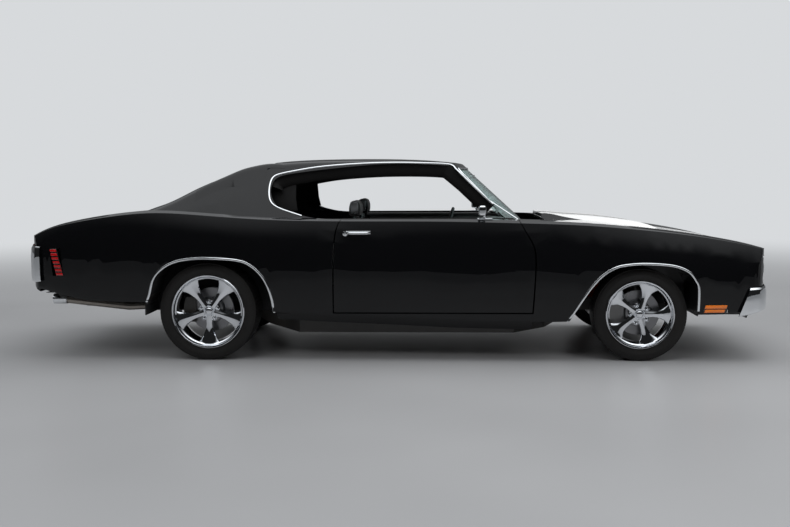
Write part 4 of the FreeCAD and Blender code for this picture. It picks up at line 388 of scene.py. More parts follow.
@dataclass
class Palette:
    """Every finish of the car, built once."""

    def __post_init__(self) -> None:
        """Builds the materials."""
        chrome = (0.83, 0.85, 0.87)
        black = (0.012, 0.012, 0.013)
        hood_bands = ((0.062, 0.352),)
        self.paint = Paint("black_paint", lined=True).build()
        self.hood_paint = Paint("black_paint_white_bands", bands=hood_bands, band_start=1.012).build()
        self.deck_paint = Paint("black_deck_paint", bands=hood_bands, band_start=-9.0).build()
        self.chrome = Surface(
            "bright_chrome", chrome, 0.030, 1.0, colour_drift=0.02, gloss_drift=0.018, relief=0.000004,
            relief_scale=90.0
        ).build()
        self.wheel_chrome = Surface(
            "wheel_chrome", (0.78, 0.80, 0.83), 0.035, 1.0, colour_drift=0.03, gloss_drift=0.02,
            relief=0.000006, relief_scale=120.0
        ).build()
        self.brushed = Surface(
            "brushed_metal", (0.55, 0.56, 0.57), 0.28, 1.0, pattern=Pattern.BRUSHED_X, relief=0.00002,
            relief_scale=900.0
        ).build()
        self.steel = Surface(
            "machined_steel", (0.42, 0.42, 0.43), 0.34, 1.0, colour_drift=0.2, gloss_drift=0.1, relief=0.00003,
            dust=0.15
        ).build()
        self.disc = Surface(
            "brake_disc_steel", (0.30, 0.30, 0.31), 0.30, 1.0, colour_drift=0.18, gloss_drift=0.09,
            relief=0.00003, relief_scale=400.0
        ).build()
        self.pipe = Surface(
            "exhaust_steel", (0.36, 0.33, 0.30), 0.42, 1.0, colour_drift=0.35, gloss_drift=0.14,
            drift_scale=5.0, dust=0.3
        ).build()
        self.frame_paint = Surface(
            "frame_paint", (0.014, 0.014, 0.014), 0.42, coat=0.2, gloss_drift=0.12, relief=0.00012,
            relief_scale=220.0, dust=0.16
        ).build()
        self.engine_paint = Surface(
            "engine_paint", (0.42, 0.045, 0.016), 0.36, coat=0.3, gloss_drift=0.1, relief=0.00022,
            relief_scale=180.0, dust=0.1
        ).build()
        self.cast = Surface(
            "cast_metal", (0.30, 0.30, 0.30), 0.5, 0.9, gloss_drift=0.1, relief=0.0003, relief_scale=240.0,
            dust=0.2
        ).build()
        self.plastic = Surface(
            "black_plastic", black, 0.42, gloss_drift=0.08, relief=0.00008, relief_scale=600.0
        ).build()
        self.satin = Surface(
            "satin_black", (0.010, 0.010, 0.010), 0.30, coat=0.25, gloss_drift=0.07, relief=0.00004,
            relief_scale=320.0
        ).build()
        self.vinyl = Surface(
            "black_vinyl", (0.017, 0.0165, 0.017), 0.44, colour_drift=0.25, gloss_drift=0.09, relief=0.0005,
            relief_scale=420.0, pattern=Pattern.LEATHER, sheen=0.15
        ).build()
        self.rubber = Surface(
            "tyre_rubber", (0.0066, 0.0064, 0.0064), 0.50, specular=0.28, colour_drift=0.3, gloss_drift=0.12,
            drift_scale=14.0, relief=0.0002, relief_scale=520.0, dust=0.02
        ).build()
        self.lining = Surface(
            "dark_lining", (0.0050, 0.0048, 0.0048), 0.62, specular=0.16, colour_drift=0.25, gloss_drift=0.08,
            relief=0.0002, relief_scale=700.0
        ).build()
        self.seal = Surface(
            "rubber_seal", (0.010, 0.010, 0.010), 0.62, gloss_drift=0.08, relief=0.0001, relief_scale=400.0
        ).build()
        self.screen = Surface(
            "tinted_glass", (0.80, 0.985, 0.955), 0.0, transmission=1.0, ior=1.45, colour_drift=0.015,
            gloss_drift=0.0004, relief=0.00000002, relief_scale=8.0
        ).build()
        self.lens = Surface(
            "lamp_glass", (0.93, 0.95, 0.96), 0.02, transmission=0.92, ior=1.5, colour_drift=0.02,
            gloss_drift=0.015, relief=0.0006, relief_scale=16.0, pattern=Pattern.RIBS_UP
        ).build()
        self.red = Surface(
            "red_lens", (0.50, 0.006, 0.008), 0.12, coat=0.8, transmission=0.25, colour_drift=0.2,
            gloss_drift=0.05, relief=0.0012, relief_scale=22.0, pattern=Pattern.RIBS_UP
        ).build()
        self.amber = Surface(
            "amber_lens", (0.86, 0.20, 0.015), 0.12, coat=0.8, transmission=0.2, colour_drift=0.2,
            gloss_drift=0.05, relief=0.0012, relief_scale=26.0, pattern=Pattern.RIBS_UP
        ).build()
        self.core = Surface(
            "radiator_core", (0.02, 0.02, 0.02), 0.5, 0.4, relief=0.0022, relief_scale=60.0,
            pattern=Pattern.RIBS_UP, dust=0.12
        ).build()
        self.floor = Floorpan().build()
        self.mirror_glass = Surface(
            "silvered_glass", (0.9, 0.91, 0.92), 0.015, 1.0, colour_drift=0.01, gloss_drift=0.01,
            relief=0.000001, relief_scale=6.0
        ).build()
        self.dial = Surface(
            "dial_face", (0.02, 0.02, 0.022), 0.35, coat=0.9, gloss_drift=0.05, relief=0.00003
        ).build()
        self.white_mark = Surface(
            "white_marking", (0.75, 0.75, 0.73), 0.4, colour_drift=0.04, relief=0.00002
        ).build()
        self.battery = Surface(
            "battery_case", (0.03, 0.03, 0.032), 0.45, gloss_drift=0.08, relief=0.0001, relief_scale=300.0
        ).build()


def smooth_shading(bm: BMesh, degrees: float) -> None:
    """Smooths every face and keeps edges sharper than an angle crisp.

    Args:
        bm: the mesh.
        degrees: the angle between faces above which an edge stays crisp.
    """
    limit = math.radians(degrees)
    for face in bm.faces:
        face.smooth = True
    for edge in bm.edges:
        edge.smooth = len(edge.link_faces) == 2 and edge.calc_face_angle(0.0) < limit


@dataclass
class Workshop:
    """Turns finished meshes into pieces of the car and keeps count of them."""

    count: int = 0

    def piece(
        self, name: str, bm: BMesh, finish: Material, crisp: float = 35.0,
        replaced: Sequence[str] = (), body: str = CAR, slot: str = "",
    ) -> Object:
        """Makes an object of a mesh, with its body and finish.

        Args:
            name: the piece's name.
            bm: its mesh, which is freed.
            finish: its material.
            crisp: edges sharper than this many degrees stay crisp.
            replaced: nodes that it stands for.
            body: the body that it rides on.
            slot: not used.
        Returns:
            The object.
        """
        smooth_shading(bm, crisp)
        mesh = bpy.data.meshes.new(name)
        bm.to_mesh(mesh)
        faces = len(bm.faces)
        bm.free()
        mesh.materials.append(finish)
        item = bpy.data.objects.new(name, mesh)
        bpy.context.scene.collection.objects.link(item)
        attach(item, body)
        if replaced:
            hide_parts(*replaced)
        self.count += 1
        log.info("%s: %d faces on %s", name, faces, body)
        return item


@dataclass
class Trade:
    """One kind of work on the car, with the finishes and the workshop at hand."""

    palette: Palette
    workshop: Workshop

    def fit(self, name: str, bm: BMesh, finish: Material, *rest: object, **where: object) -> Object:
        """Has the workshop make a piece and returns its object."""
        return self.workshop.piece(name, bm, finish, *rest, **where)

    def fit_pair(self, name: str, bm: BMesh, finish: Material, *rest: object) -> None:
        """Makes one piece of a right-hand mesh and its mirror image."""
        self.fit(name, joined([copied(bm, MIRROR_Y), bm]), finish, *rest)


def tidy(bm: BMesh) -> BMesh:
    """Merges doubled vertices, turns the faces outward and returns the mesh."""
    bmesh.ops.remove_doubles(bm, verts=bm.verts[:], dist=0.00002)
    bmesh.ops.recalc_face_normals(bm, faces=bm.faces[:])
    return bm


def placed(bm: BMesh, matrix: Matrix) -> BMesh:
    """Moves a whole mesh by a matrix, keeps its faces outward and returns it."""
    bmesh.ops.transform(bm, matrix=matrix, verts=bm.verts[:])
    if matrix.determinant() < 0:
        bmesh.ops.reverse_faces(bm, faces=bm.faces[:])
    return bm


def copied(bm: BMesh, matrix: Matrix) -> BMesh:
    """Returns a moved copy of a mesh."""
    return placed(bm.copy(), matrix)


def joined(meshes: Iterable[BMesh]) -> BMesh:
    """Puts several meshes in one, frees them and returns it."""
    result = bmesh.new()
    for bm in meshes:
        mesh = bpy.data.meshes.new("part")
        bm.to_mesh(mesh)
        bm.free()
        result.from_mesh(mesh)
        bpy.data.meshes.remove(mesh)
    return result


def block(centre: Sequence[float], size: Sequence[float], radius: float = 0.0, segments: int = 3) -> BMesh:
    """Makes a block with rounded edges.

    Args:
        centre: its middle.
        size: its length along x, y and z.
        radius: how far its edges are rounded.
        segments: steps of the rounding.
    Returns:
        The mesh.
    """
    bm = bmesh.new()
    bmesh.ops.create_cube(bm, size=1.0)
    placed(bm, Matrix.Translation(centre) @ Matrix.Diagonal((*size, 1.0)))
    return eased(bm, radius, segments, clamped=True) if radius else bm


def spun(profile: Sequence[Point], steps: int, closed: bool = False) -> BMesh:
    """Spins a profile round the y axis.

    Args:
        profile: (radius, y) points in order.
        steps: number of steps round.
        closed: whether the last point joins the first.
    Returns:
        The mesh, with its faces outward.
    """
    bm = bmesh.new()
    verts = [bm.verts.new((0.0, y, radius)) for radius, y in profile]
    edges = [bm.edges.new(pair) for pair in zip(verts, verts[1:])]
    if closed:
        edges.append(bm.edges.new((verts[-1], verts[0])))
    bmesh.ops.spin(
        bm, geom=verts + edges, cent=(0, 0, 0), axis=(0, 1, 0), dvec=(0, 0, 0), angle=2 * math.pi,
        steps=steps, use_merge=True, use_duplicate=False,
    )
    return tidy(bm)


def turned_from_y(direction: Sequence[float]) -> Matrix:
    """Returns the turn that carries the y axis to a direction."""
    return Vector((0, 1, 0)).rotation_difference(Vector(direction).normalized()).to_matrix().to_4x4()


def stood(bm: BMesh, place: Sequence[float], way: Sequence[float] = (0, 0, 1)) -> BMesh:
    """Carries a shape spun round y to a place, with that axis turned to a direction, and returns it."""
    return placed(bm, Matrix.Translation(place) @ turned_from_y(way))


def eased(bm: BMesh, radius: float, segments: int, clamped: bool = False) -> BMesh:
    """Rounds every edge of a mesh and returns it.

    Args:
        bm: the mesh.
        radius: how far its edges are rounded.
        segments: steps of the rounding.
        clamped: whether the rounding stops where edges would meet.
    Returns:
        The same mesh.
    """
    bmesh.ops.bevel(
        bm, geom=bm.edges[:], offset=radius, offset_type="OFFSET", segments=segments, profile=0.5,
        affect="EDGES", material=-1, clamp_overlap=clamped,
    )
    return bm


def thickened(corners: Sequence[Sequence[float]], depth: float) -> BMesh:
    """Makes a sheet of a given thickness.

    Args:
        corners: places round its edge.
        depth: how far its other face lies along y.
    Returns:
        The mesh.
    """
    bm = bmesh.new()
    bm.faces.new([bm.verts.new(place) for place in corners])
    grown = bmesh.ops.extrude_face_region(bm, geom=bm.faces[:])["geom"]
    moved = [item for item in grown if isinstance(item, BMVert)]
    bmesh.ops.translate(bm, vec=(0, depth, 0), verts=moved)
    bmesh.ops.recalc_face_normals(bm, faces=bm.faces[:])
    return bm


def oval_section(wide: float, high: float, count: int) -> list[Point]:
    """Returns the points of an oval section."""
    turns = [2 * math.pi * k / count for k in range(count)]
    return [(wide * math.cos(turn), high * math.sin(turn)) for turn in turns]


def rod(
    start: Sequence[float], end: Sequence[float], radius: float, steps: int = 16, round_end: float = 0.0
) -> BMesh:
    """Makes a round bar between two points, with its edges eased.

    Args:
        start: one end.
        end: the other end.
        radius: its radius.
        steps: sides round it.
        round_end: how far its end edges are rounded.
    Returns:
        The mesh.
    """
    run = Vector(end) - Vector(start)
    ease = max(round_end, radius * 0.08)
    profile = [
        (0.0, 0.0), (radius - ease, 0.0), (radius, ease), (radius, run.length - ease),
        (radius - ease, run.length), (0.0, run.length)
    ]
    bm = spun(profile, steps)
    return stood(bm, start, run)


def carried(
    bm: BMesh, profile: Sequence[Point], matrices: Sequence[Matrix], capped: bool,
) -> list[BMEdge]:
    """Extrudes a closed profile through a row of placings.

    Args:
        bm: the mesh to make it in.
        profile: (x, y) points of the section.
        matrices: placing of the section at each station.
        capped: whether the first end is closed.
    Returns:
        The edges of the last section.
    """
    first = [bm.verts.new(matrices[0] @ Vector((u, v, 0))) for u, v in profile]
    edges = [bm.edges.new((a, b)) for a, b in zip(first, first[1:] + first[:1])]
    if capped:
        bm.faces.new(first)
    for before, after in zip(matrices, matrices[1:]):
        grown = bmesh.ops.extrude_edge_only(bm, edges=edges)["geom"]
        verts = [item for item in grown if isinstance(item, BMVert)]
        chosen = set(verts)
        edges = [
            item for item in grown
            if isinstance(item, BMEdge) and all(vert in chosen for vert in item.verts)
        ]
        bmesh.ops.transform(bm, matrix=after @ before.inverted(), verts=verts)
    return edges


@dataclass
class Sweep:
    """Carries a closed profile along a path by extruding it from station to station.

    The profile is (outward, sideways) points, and each station is (place, outward direction).
    """

    profile: Sequence[Point]
    stations: Sequence[Station]
    loop: bool = False

    def matrix(self, index: int) -> Matrix:
        """Returns the placing of the profile at a station."""
        count = len(self.stations)
        place, outward = self.stations[index]
        before = self.stations[(index - 1) % count if self.loop else max(index - 1, 0)][0]
        after = self.stations[(index + 1) % count if self.loop else min(index + 1, count - 1)][0]
        along = (after - before).normalized()
        out = (outward - along * outward.dot(along)).normalized()
        side = along.cross(out)
        return Matrix((
            (out.x, side.x, along.x, place.x), (out.y, side.y, along.y, place.y),
            (out.z, side.z, along.z, place.z), (0, 0, 0, 1),
        ))

    def build(self) -> BMesh:
        """Returns the swept mesh."""
        bm = bmesh.new()
        matrices = [self.matrix(index) for index in range(len(self.stations))]
        edges = carried(bm, self.profile, matrices, capped=not self.loop)
        if self.loop:
            start = [edge for edge in bm.edges if edge.is_boundary and edge not in edges]
            bmesh.ops.bridge_loops(bm, edges=edges + start)
        else:
            bmesh.ops.contextual_create(bm, geom=edges)
        return tidy(bm)


def smooth_path(points: Sequence[Point], steps: int) -> list[Point]:
    """Rounds a run of (x, z) points into a smooth line through them.

    Args:
        points: the points to pass through.
        steps: steps between two of them.
    Returns:
        The points of the smooth line.
    """
    padded = [points[0], *points, points[-1]]
    result: list[Point] = []
    for a, b, c, d in zip(padded, padded[1:], padded[2:], padded[3:]):
        for step in range(steps):
            t = step / steps
            result.append(tuple(
                0.5 * (2 * q + (r - p) * t + (2 * p - 5 * q + 4 * r - s) * t**2 + (3 * q - p - 3 * r + s) * t**3)
                for p, q, r, s in zip(a, b, c, d)
            ))
    result.append(points[-1])
    return result


@dataclass
class Skin:
    """Finds places on the outside of the frame's nodes."""

    nodes: Sequence[str]

    def __post_init__(self) -> None:
        """Builds one search tree a node."""
        self.trees = []
        for name in self.nodes:
            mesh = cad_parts[name].data
            corners = [vertex.co.copy() for vertex in mesh.vertices]
            faces = [tuple(polygon.vertices) for polygon in mesh.polygons]
            self.trees.append(BVHTree.FromPolygons(corners, faces))

    def hit(self, start: Vector, direction: Vector) -> Optional[Station]:
        """Casts a ray and returns the nearest (place, outward normal), or None."""
        best = None
        for tree in self.trees:
            place, normal, _, distance = tree.ray_cast(start, direction)
            if place is not None and (best is None or distance < best[0]):
                facing = normal if normal.dot(direction) < 0 else -normal
                best = (distance, place, facing)
        return None if best is None else (best[1], best[2])

    def ahead(self, start: Sequence[float], way: int) -> Optional[Station]:
        """Casts a ray forward or backward along the car and returns the nearest (place, normal), or None."""
        return self.hit(Vector(start), Vector((way, 0, 0)))

    def side(self, x: float, z: float) -> Optional[Station]:
        """Returns the (place, normal) of the right side at x and z, or None."""
        return self.hit(Vector((x, -2.0, z)), Vector((0, 1, 0)))

    def line(self, points: Sequence[Point], lift: float, evened: int) -> list[Station]:
        """Lays (x, z) points on the right side.

        Args:
            points: the line to lay.
            lift: how far the line stands off the surface.
            evened: how often depth and direction are averaged with the neighbours'.
        Returns:
            (place, outward direction) pairs; points that miss the side are left out.
        """
        places, normals = [], []
        for x, z in points:
            found = self.side(x, z)
            if found is not None and found[0].y < -0.5:
                places.append(found[0])
                normals.append(Vector((0, found[1].y, found[1].z)).normalized())
        for _ in range(evened):
            depths = [place.y for place in places]
            turned = [normal.copy() for normal in normals]
            for index in range(1, len(places) - 1):
                places[index].y = (depths[index - 1] + 2 * depths[index] + depths[index + 1]) / 4
                normals[index] = (turned[index - 1] + 2 * turned[index] + turned[index + 1]).normalized()
        return [(place + normal * lift, normal) for place, normal in zip(places, normals)]


def lofted(profile: Sequence[Point], matrices: Sequence[Matrix]) -> BMesh:
    """Carries a closed profile through a row of placings, which may also stretch it, and closes the ends.

    Args:
        profile: (x, y) points of the section.
        matrices: placing of the section at each station.
    Returns:
        The mesh.
    """
    bm = bmesh.new()
    bmesh.ops.contextual_create(bm, geom=carried(bm, profile, matrices, capped=True))
    return tidy(bm)


@dataclass
class RoadWheel(Trade):
    """Five-spoke chrome wheel, its brake disc and its tyre, drawn for the right side round its own centre."""

    end: str
    axle_x: float
    hub_z: float
    track: float
    width: float
    rim: float
    disc: float
    first_spoke: float
    spokes: int = 5
    lugs: int = 5

    def rim_mesh(self) -> BMesh:
        """Returns the rim with its rolled lips and drop centre."""
        out, radius = -(self.width - 14 * MM) / 2, self.rim
        inward = -out
        outside = [
            (radius - 2 * MM, out - 5 * MM), (radius + 4 * MM, out - 6 * MM), (radius + 8 * MM, out - 3 * MM),
            (radius + 8 * MM, out + 1 * MM), (radius + 2 * MM, out + 5 * MM), (radius - 3 * MM, out + 16 * MM),
            (radius - 9 * MM, out + 48 * MM), (radius - 22 * MM, 0.0), (radius - 9 * MM, inward - 34 * MM),
            (radius - 3 * MM, inward - 10 * MM), (radius + 6 * MM, inward - 2 * MM),
            (radius + 6 * MM, inward + 2 * MM),
        ]
        inside = [
            (radius - 2 * MM, inward), (radius - 15 * MM, inward - 32 * MM), (radius - 29 * MM, 0.0),
            (radius - 23 * MM, out + 50 * MM), (radius - 19 * MM, out + 24 * MM),
            (radius - 11 * MM, out + 18 * MM),
            (radius - 8 * MM, out + 6 * MM), (radius - 6 * MM, out - 1 * MM),
        ]
        return spun(outside + inside, 72, closed=True)

    def spoke_mesh(self) -> BMesh:
        """Returns all the spokes: narrow at the hub, spread like a fan at the rim, crowned along the middle."""
        out = -(self.width - 14 * MM) / 2
        section = [
            (-0.5, 1.0), (-0.5, 0.34), (-0.44, 0.10), (-0.30, 0.02), (-0.10, -0.13), (0.0, -0.17),
            (0.10, -0.13), (0.30, 0.02), (0.44, 0.10), (0.5, 0.34), (0.5, 1.0), (0.0, 1.0),
        ]
        reach = self.rim - 17 * MM
        rows = (
            (0.034, 0.056, 0.034, 0.026), (0.058, 0.044, 0.034, 0.026), (0.088, 0.040, 0.036, 0.024),
            (0.120, 0.050, 0.036, 0.022), (0.155, 0.073, 0.033, 0.020), (0.190, 0.103, 0.029, 0.018),
        )
        stations = [row for row in rows if row[0] < reach - 0.015] + [
            (reach - 0.010, 0.132, 0.025, 0.016), (reach, 0.152, 0.022, 0.014)
        ]
        matrices = [
            Matrix.Translation((0, out + back, radius)) @ Matrix.Diagonal((width, depth, 1, 1))
            for radius, width, back, depth in stations
        ]
        single = lofted(section, matrices)
        turns = [self.first_spoke + 360 / self.spokes * index for index in range(self.spokes)]
        copies = [copied(single, Matrix.Rotation(math.radians(turn), 4, "Y")) for turn in turns]
        single.free()
        return joined(copies)

    def hub_mesh(self) -> BMesh:
        """Returns the hub with its bare cap and lug nuts."""
        face = -(self.width - 14 * MM) / 2 + 34 * MM
        back = self.track / 2 - 812 * MM
        profile = [
            (0.0, face - 11 * MM), (12 * MM, face - 10 * MM), (19 * MM, face - 8 * MM),
            (23 * MM, face - 4 * MM),
            (24 * MM, face - 1 * MM), (27 * MM, face), (30 * MM, face - 3 * MM), (34 * MM, face - 3 * MM),
            (37 * MM, face + 2 * MM), (62 * MM, face + 5 * MM), (66 * MM, face + 9 * MM),
            (64 * MM, face + 26 * MM),
            (58 * MM, max(back, face + 30 * MM)), (26 * MM, max(back, face + 30 * MM)), (0.0, face + 20 * MM),
        ]
        meshes = [spun(profile, 48)]
        for index in range(self.lugs):
            turn = math.radians(self.first_spoke + 360 / self.lugs * (index + 0.5))
            place = Vector((60.3 * MM * math.sin(turn), 0, 60.3 * MM * math.cos(turn)))
            seat = spun([(15 * MM, 0.0), (15 * MM, -2 * MM), (12.5 * MM, -3 * MM), (11 * MM, 2 * MM)], 18)
            nut = spun(
                [
                    (0.0, -15 * MM), (5 * MM, -15 * MM), (8.4 * MM, -12 * MM), (9.6 * MM, -3 * MM),
                    (10.5 * MM, 2 * MM)
                ],
                6
            )
            for bm in (seat, nut):
                meshes.append(placed(bm, Matrix.Translation(place + Vector((0, face + 3 * MM, 0)))))
        return joined(meshes)

    def disc_mesh(self) -> BMesh:
        """Returns the vented brake disc with its hat and its slots."""
        middle = self.track / 2 - 735 * MM
        outer, half = self.disc / 2, 13 * MM
        profile = [
            (outer - 1 * MM, middle - half), (outer, middle - half + 1 * MM), (outer, middle - 4 * MM),
            (outer - 9 * MM, middle - 4 * MM),
            (outer - 9 * MM, middle + 4 * MM), (outer, middle + 4 * MM), (outer, middle + half - 1 * MM),
            (outer - 1 * MM, middle + half),
            (86 * MM, middle + half), (82 * MM, middle + half - 3 * MM), (78 * MM, middle - 40 * MM),
            (62 * MM, middle - 44 * MM),
            (66 * MM, middle - 52 * MM), (82 * MM, middle - 50 * MM), (86 * MM, middle - 44 * MM),
            (90 * MM, middle - half),
        ]
        meshes = [spun(profile, 64, closed=True)]
        slot = block(
            (0, middle - half, (outer + 92 * MM) / 2), (3 * MM, 1.2 * MM, outer - 112 * MM), 0.4 * MM, 1
        )
        placed(slot, Matrix.Rotation(math.radians(24), 4, "Y"))
        for index in range(12):
            meshes.append(copied(slot, Matrix.Rotation(2 * math.pi * index / 12, 4, "Y")))
        slot.free()
        return joined(meshes)

    def tyre_mesh(self) -> BMesh:
        """Returns the tyre: bulged walls, a rim guard, grooves round the tread and raised tread blocks."""
        half, outer, inner = self.width / 2, self.hub_z, self.rim
        bead = half - 14 * MM
        low = outer - 4.5 * MM
        middle = (inner + outer) / 2
        wall = [
            (inner - 1 * MM, bead - 3 * MM), (inner + 6 * MM, bead + 2 * MM),
            (inner + 10 * MM, bead + 8 * MM), (inner + 14 * MM, bead + 9 * MM),
            (inner + 17 * MM, bead + 7 * MM), (middle - 4 * MM, half - 1 * MM), (middle, half - 0.2 * MM),
            (middle + 1.2 * MM, half),
            (middle + 5 * MM, half - 0.4 * MM), (outer - 22 * MM, half - 3 * MM),
            (outer - 14 * MM, half - 8 * MM),
        ]
        shoulder = [(outer - 10 * MM, half - 11 * MM), (low - 2 * MM, half - 20 * MM)]
        tread: list[Point] = []
        for share in (0.56, 0.20, -0.20, -0.56):
            centre = share * half
            drop = 3 * MM * share**2
            tread += [
                (low - drop, centre + 4.5 * MM), (low - 4 * MM, centre + 3.5 * MM),
                (low - 4 * MM, centre - 3.5 * MM), (low - drop, centre - 4.5 * MM),
            ]
        left = [(radius, -y) for radius, y in reversed(wall + shoulder)]
        lining = [(outer - 19 * MM, -0.8 * half), (outer - 17 * MM, 0.0), (outer - 19 * MM, 0.8 * half)]
        bm = spun(wall + shoulder + tread + left + lining, 96, closed=True)
        blocks = []
        for face in bm.faces:
            centre = face.calc_center_median()
            radius = math.hypot(centre.x, centre.z)
            level = radius > low - 6 * MM and abs(face.normal.y) < 0.75 and face.normal.dot(
                Vector((centre.x, 0, centre.z))
            ) > 0
            if level and face.calc_area() > 0.00014:
                blocks.append(face)
        bmesh.ops.inset_individual(bm, faces=blocks, thickness=1.4 * MM, depth=4.2 * MM, use_even_offset=True)
        return bm

    def build(self, side: Side) -> None:
        """Makes the wheel's pieces on one side of the car."""
        body = f"wheel_{self.end}_{side.word}"
        flip = Matrix.Identity(4) if side is Side.RIGHT else MIRROR_Y
        seat = Matrix.Translation((self.axle_x, side.value * self.track / 2, self.hub_z)) @ flip
        p = self.palette
        rows = (
            ("rim", self.rim_mesh(), p.wheel_chrome, (body,), 30.0),
            ("spokes", self.spoke_mesh(), p.wheel_chrome, (), 32.0),
            ("hub", self.hub_mesh(), p.wheel_chrome, (), 30.0),
            ("disc", self.disc_mesh(), p.disc, (), 30.0),
            ("carcass", self.tyre_mesh(), p.rubber, (f"tyre_{self.end}_{side.word}",), 24.0),
        )
        for word, bm, finish, replaced, crisp in rows:
            placed(bm, seat)
            self.fit(f"{word}_{self.end}_{side.word}", bm, finish, crisp, replaced, body)


@dataclass
class Mouldings(Trade):
    """Bright strips along the wheel openings, the side windows and the two screens."""

    widest: float = 0.95774
    arch_offset: float = 0.007
    front_arch_reach: float = 0.488
    arch_profile: tuple[Point, ...] = (
        (-0.006, -0.0085), (0.0006, -0.0085), (0.0023, -0.0070), (0.0028, -0.001), (0.0023, 0.0048),
        (0.0004, 0.0065), (-0.006, 0.0065),
    )
    thin_profile: tuple[Point, ...] = (
        (-0.004, -0.0062), (0.001, -0.0062), (0.0035, -0.0042), (0.0045, 0.0), (0.0035, 0.0042),
        (0.001, 0.0062), (-0.004, 0.0062),
    )
    front_shares: tuple[Point, ...] = (
        (0.728, 0.57), (0.731, 0.96), (0.690, 1.085), (0.588, 1.203), (0.386, 1.279), (0.036, 1.305),
        (-0.214, 1.289), (-0.363, 1.252), (-0.513, 1.160), (-0.642, 1.027), (-0.758, 0.865), (-0.873, 0.684),
        (-1.0, 0.49),
    )
    window_points: tuple[Point, ...] = (
        (0.764, 0.930), (0.690, 0.998), (0.600, 1.083), (0.500, 1.178), (0.420, 1.254), (0.400, 1.280),
        (0.360, 1.295), (0.240, 1.302), (0.060, 1.306), (-0.140, 1.304), (-0.340, 1.294), (-0.520, 1.278),
        (-0.680, 1.252), (-0.775, 1.232), (-0.812, 1.214), (-0.830, 1.180), (-0.836, 1.120), (-0.826, 1.062),
        (-0.797, 1.026), (-0.745, 1.000), (-0.690, 0.9815), (-0.640, 0.9655), (-0.605, 0.9550),
    )

    def strip(
        self, name: str, stations: list[Station], profile: Sequence[Point], loop: bool = False,
        both: bool = True,
    ) -> None:
        """Makes one strip, and its twin on the left.

        Args:
            name: the piece's name.
            stations: (place, outward direction) along the strip.
            profile: its section.
            loop: whether it closes on itself.
            both: whether the left side has one too.
        """
        bm = Sweep(profile, stations, loop).build()
        for vert in bm.verts:
            vert.co.y = max(vert.co.y, -self.widest)
        if both:
            self.fit(f"{name}_left", copied(bm, MIRROR_Y), self.palette.chrome, 50.0)
            name = f"{name}_right"
        self.fit(name, bm, self.palette.chrome, 50.0)

    def arch(self, name: str, axle_x: float, reach: float, shares: Sequence[Point], skin: Skin) -> None:
        """Makes the strip along one wheel opening."""
        grown = reach + self.arch_offset
        line = smooth_path([(axle_x + u * grown, v * grown) for u, v in shares], 6)
        self.strip(name, skin.line(line, 0.0, 2), self.arch_profile)

    def screen(
        self, name: str, skin: Skin, way: int, near: float, low: Point, high: Point, corner: float, loop: bool
    ) -> None:
        """Makes the strip round a screen.

        Args:
            name: the piece's name.
            skin: where to find the surface.
            way: 1 for a screen that looks forward, -1 for one that looks back.
            near: places less far that way from the car's middle belong to other panels.
            low: (half width, z) of the bottom edge.
            high: (half width, z) of the top edge.
            corner: radius of the top corners.
            loop: whether the strip also runs along the bottom.
        """
        (low_y, low_z), (high_y, high_z) = low, high
        lean = (low_y - high_y) / (high_z - low_z)
        half = [
            (
                low_y - lean * step * (high_z - corner - low_z) / 12,
                low_z + step * (high_z - corner - low_z) / 12
            )
            for step in range(13)
        ]
        for step in range(1, 9):
            turn = math.pi / 2 * step / 8
            side = high_y + lean * corner
            half.append((side - corner * (1 - math.cos(turn)), high_z - corner * (1 - math.sin(turn))))
        edge = half[-1][0]
        half += [(edge * (1 - step / 8), high_z) for step in range(1, 9)]
        outline = [(-y, z) for y, z in half] + [(y, z) for y, z in reversed(half[:-1])]
        if loop:
            outline += [(low_y * (1 - step / 8), low_z) for step in range(1, 16)]
        stations = []
        for y, z in outline:
            found = skin.ahead((OUTSIDE_X * way, y, z), -way)
            if found is not None and found[0].x * way > near:
                stations.append((found[0], Vector((found[1].x, 0, found[1].z)).normalized()))
        self.strip(name, stations, self.thin_profile, loop, both=False)

    def build(self) -> None:
        """Makes every strip."""
        fenders = Skin(("front_fenders",))
        self.arch("front_arch_strip", FRONT_AXLE_X, self.front_arch_reach, self.front_shares, fenders)
        self.arch("rear_arch_strip", REAR_AXLE_X, REAR_ARCH_REACH, REAR_ARCH_SHARES, Skin(("body_shell",)))
        shell = Skin(("body_shell",))
        line = smooth_path(self.window_points, 3)
        self.strip("window_strip", shell.line(line, 0.0015, 6), self.thin_profile)
        self.screen("windscreen_strip", shell, 1, 0.35, (0.728, 0.900), (0.570, 1.270), 0.066, False)
        self.screen("backlight_strip", shell, -1, 0.85, (0.648, 0.998), (0.548, 1.271), 0.066, True)
        log.info("strips laid")


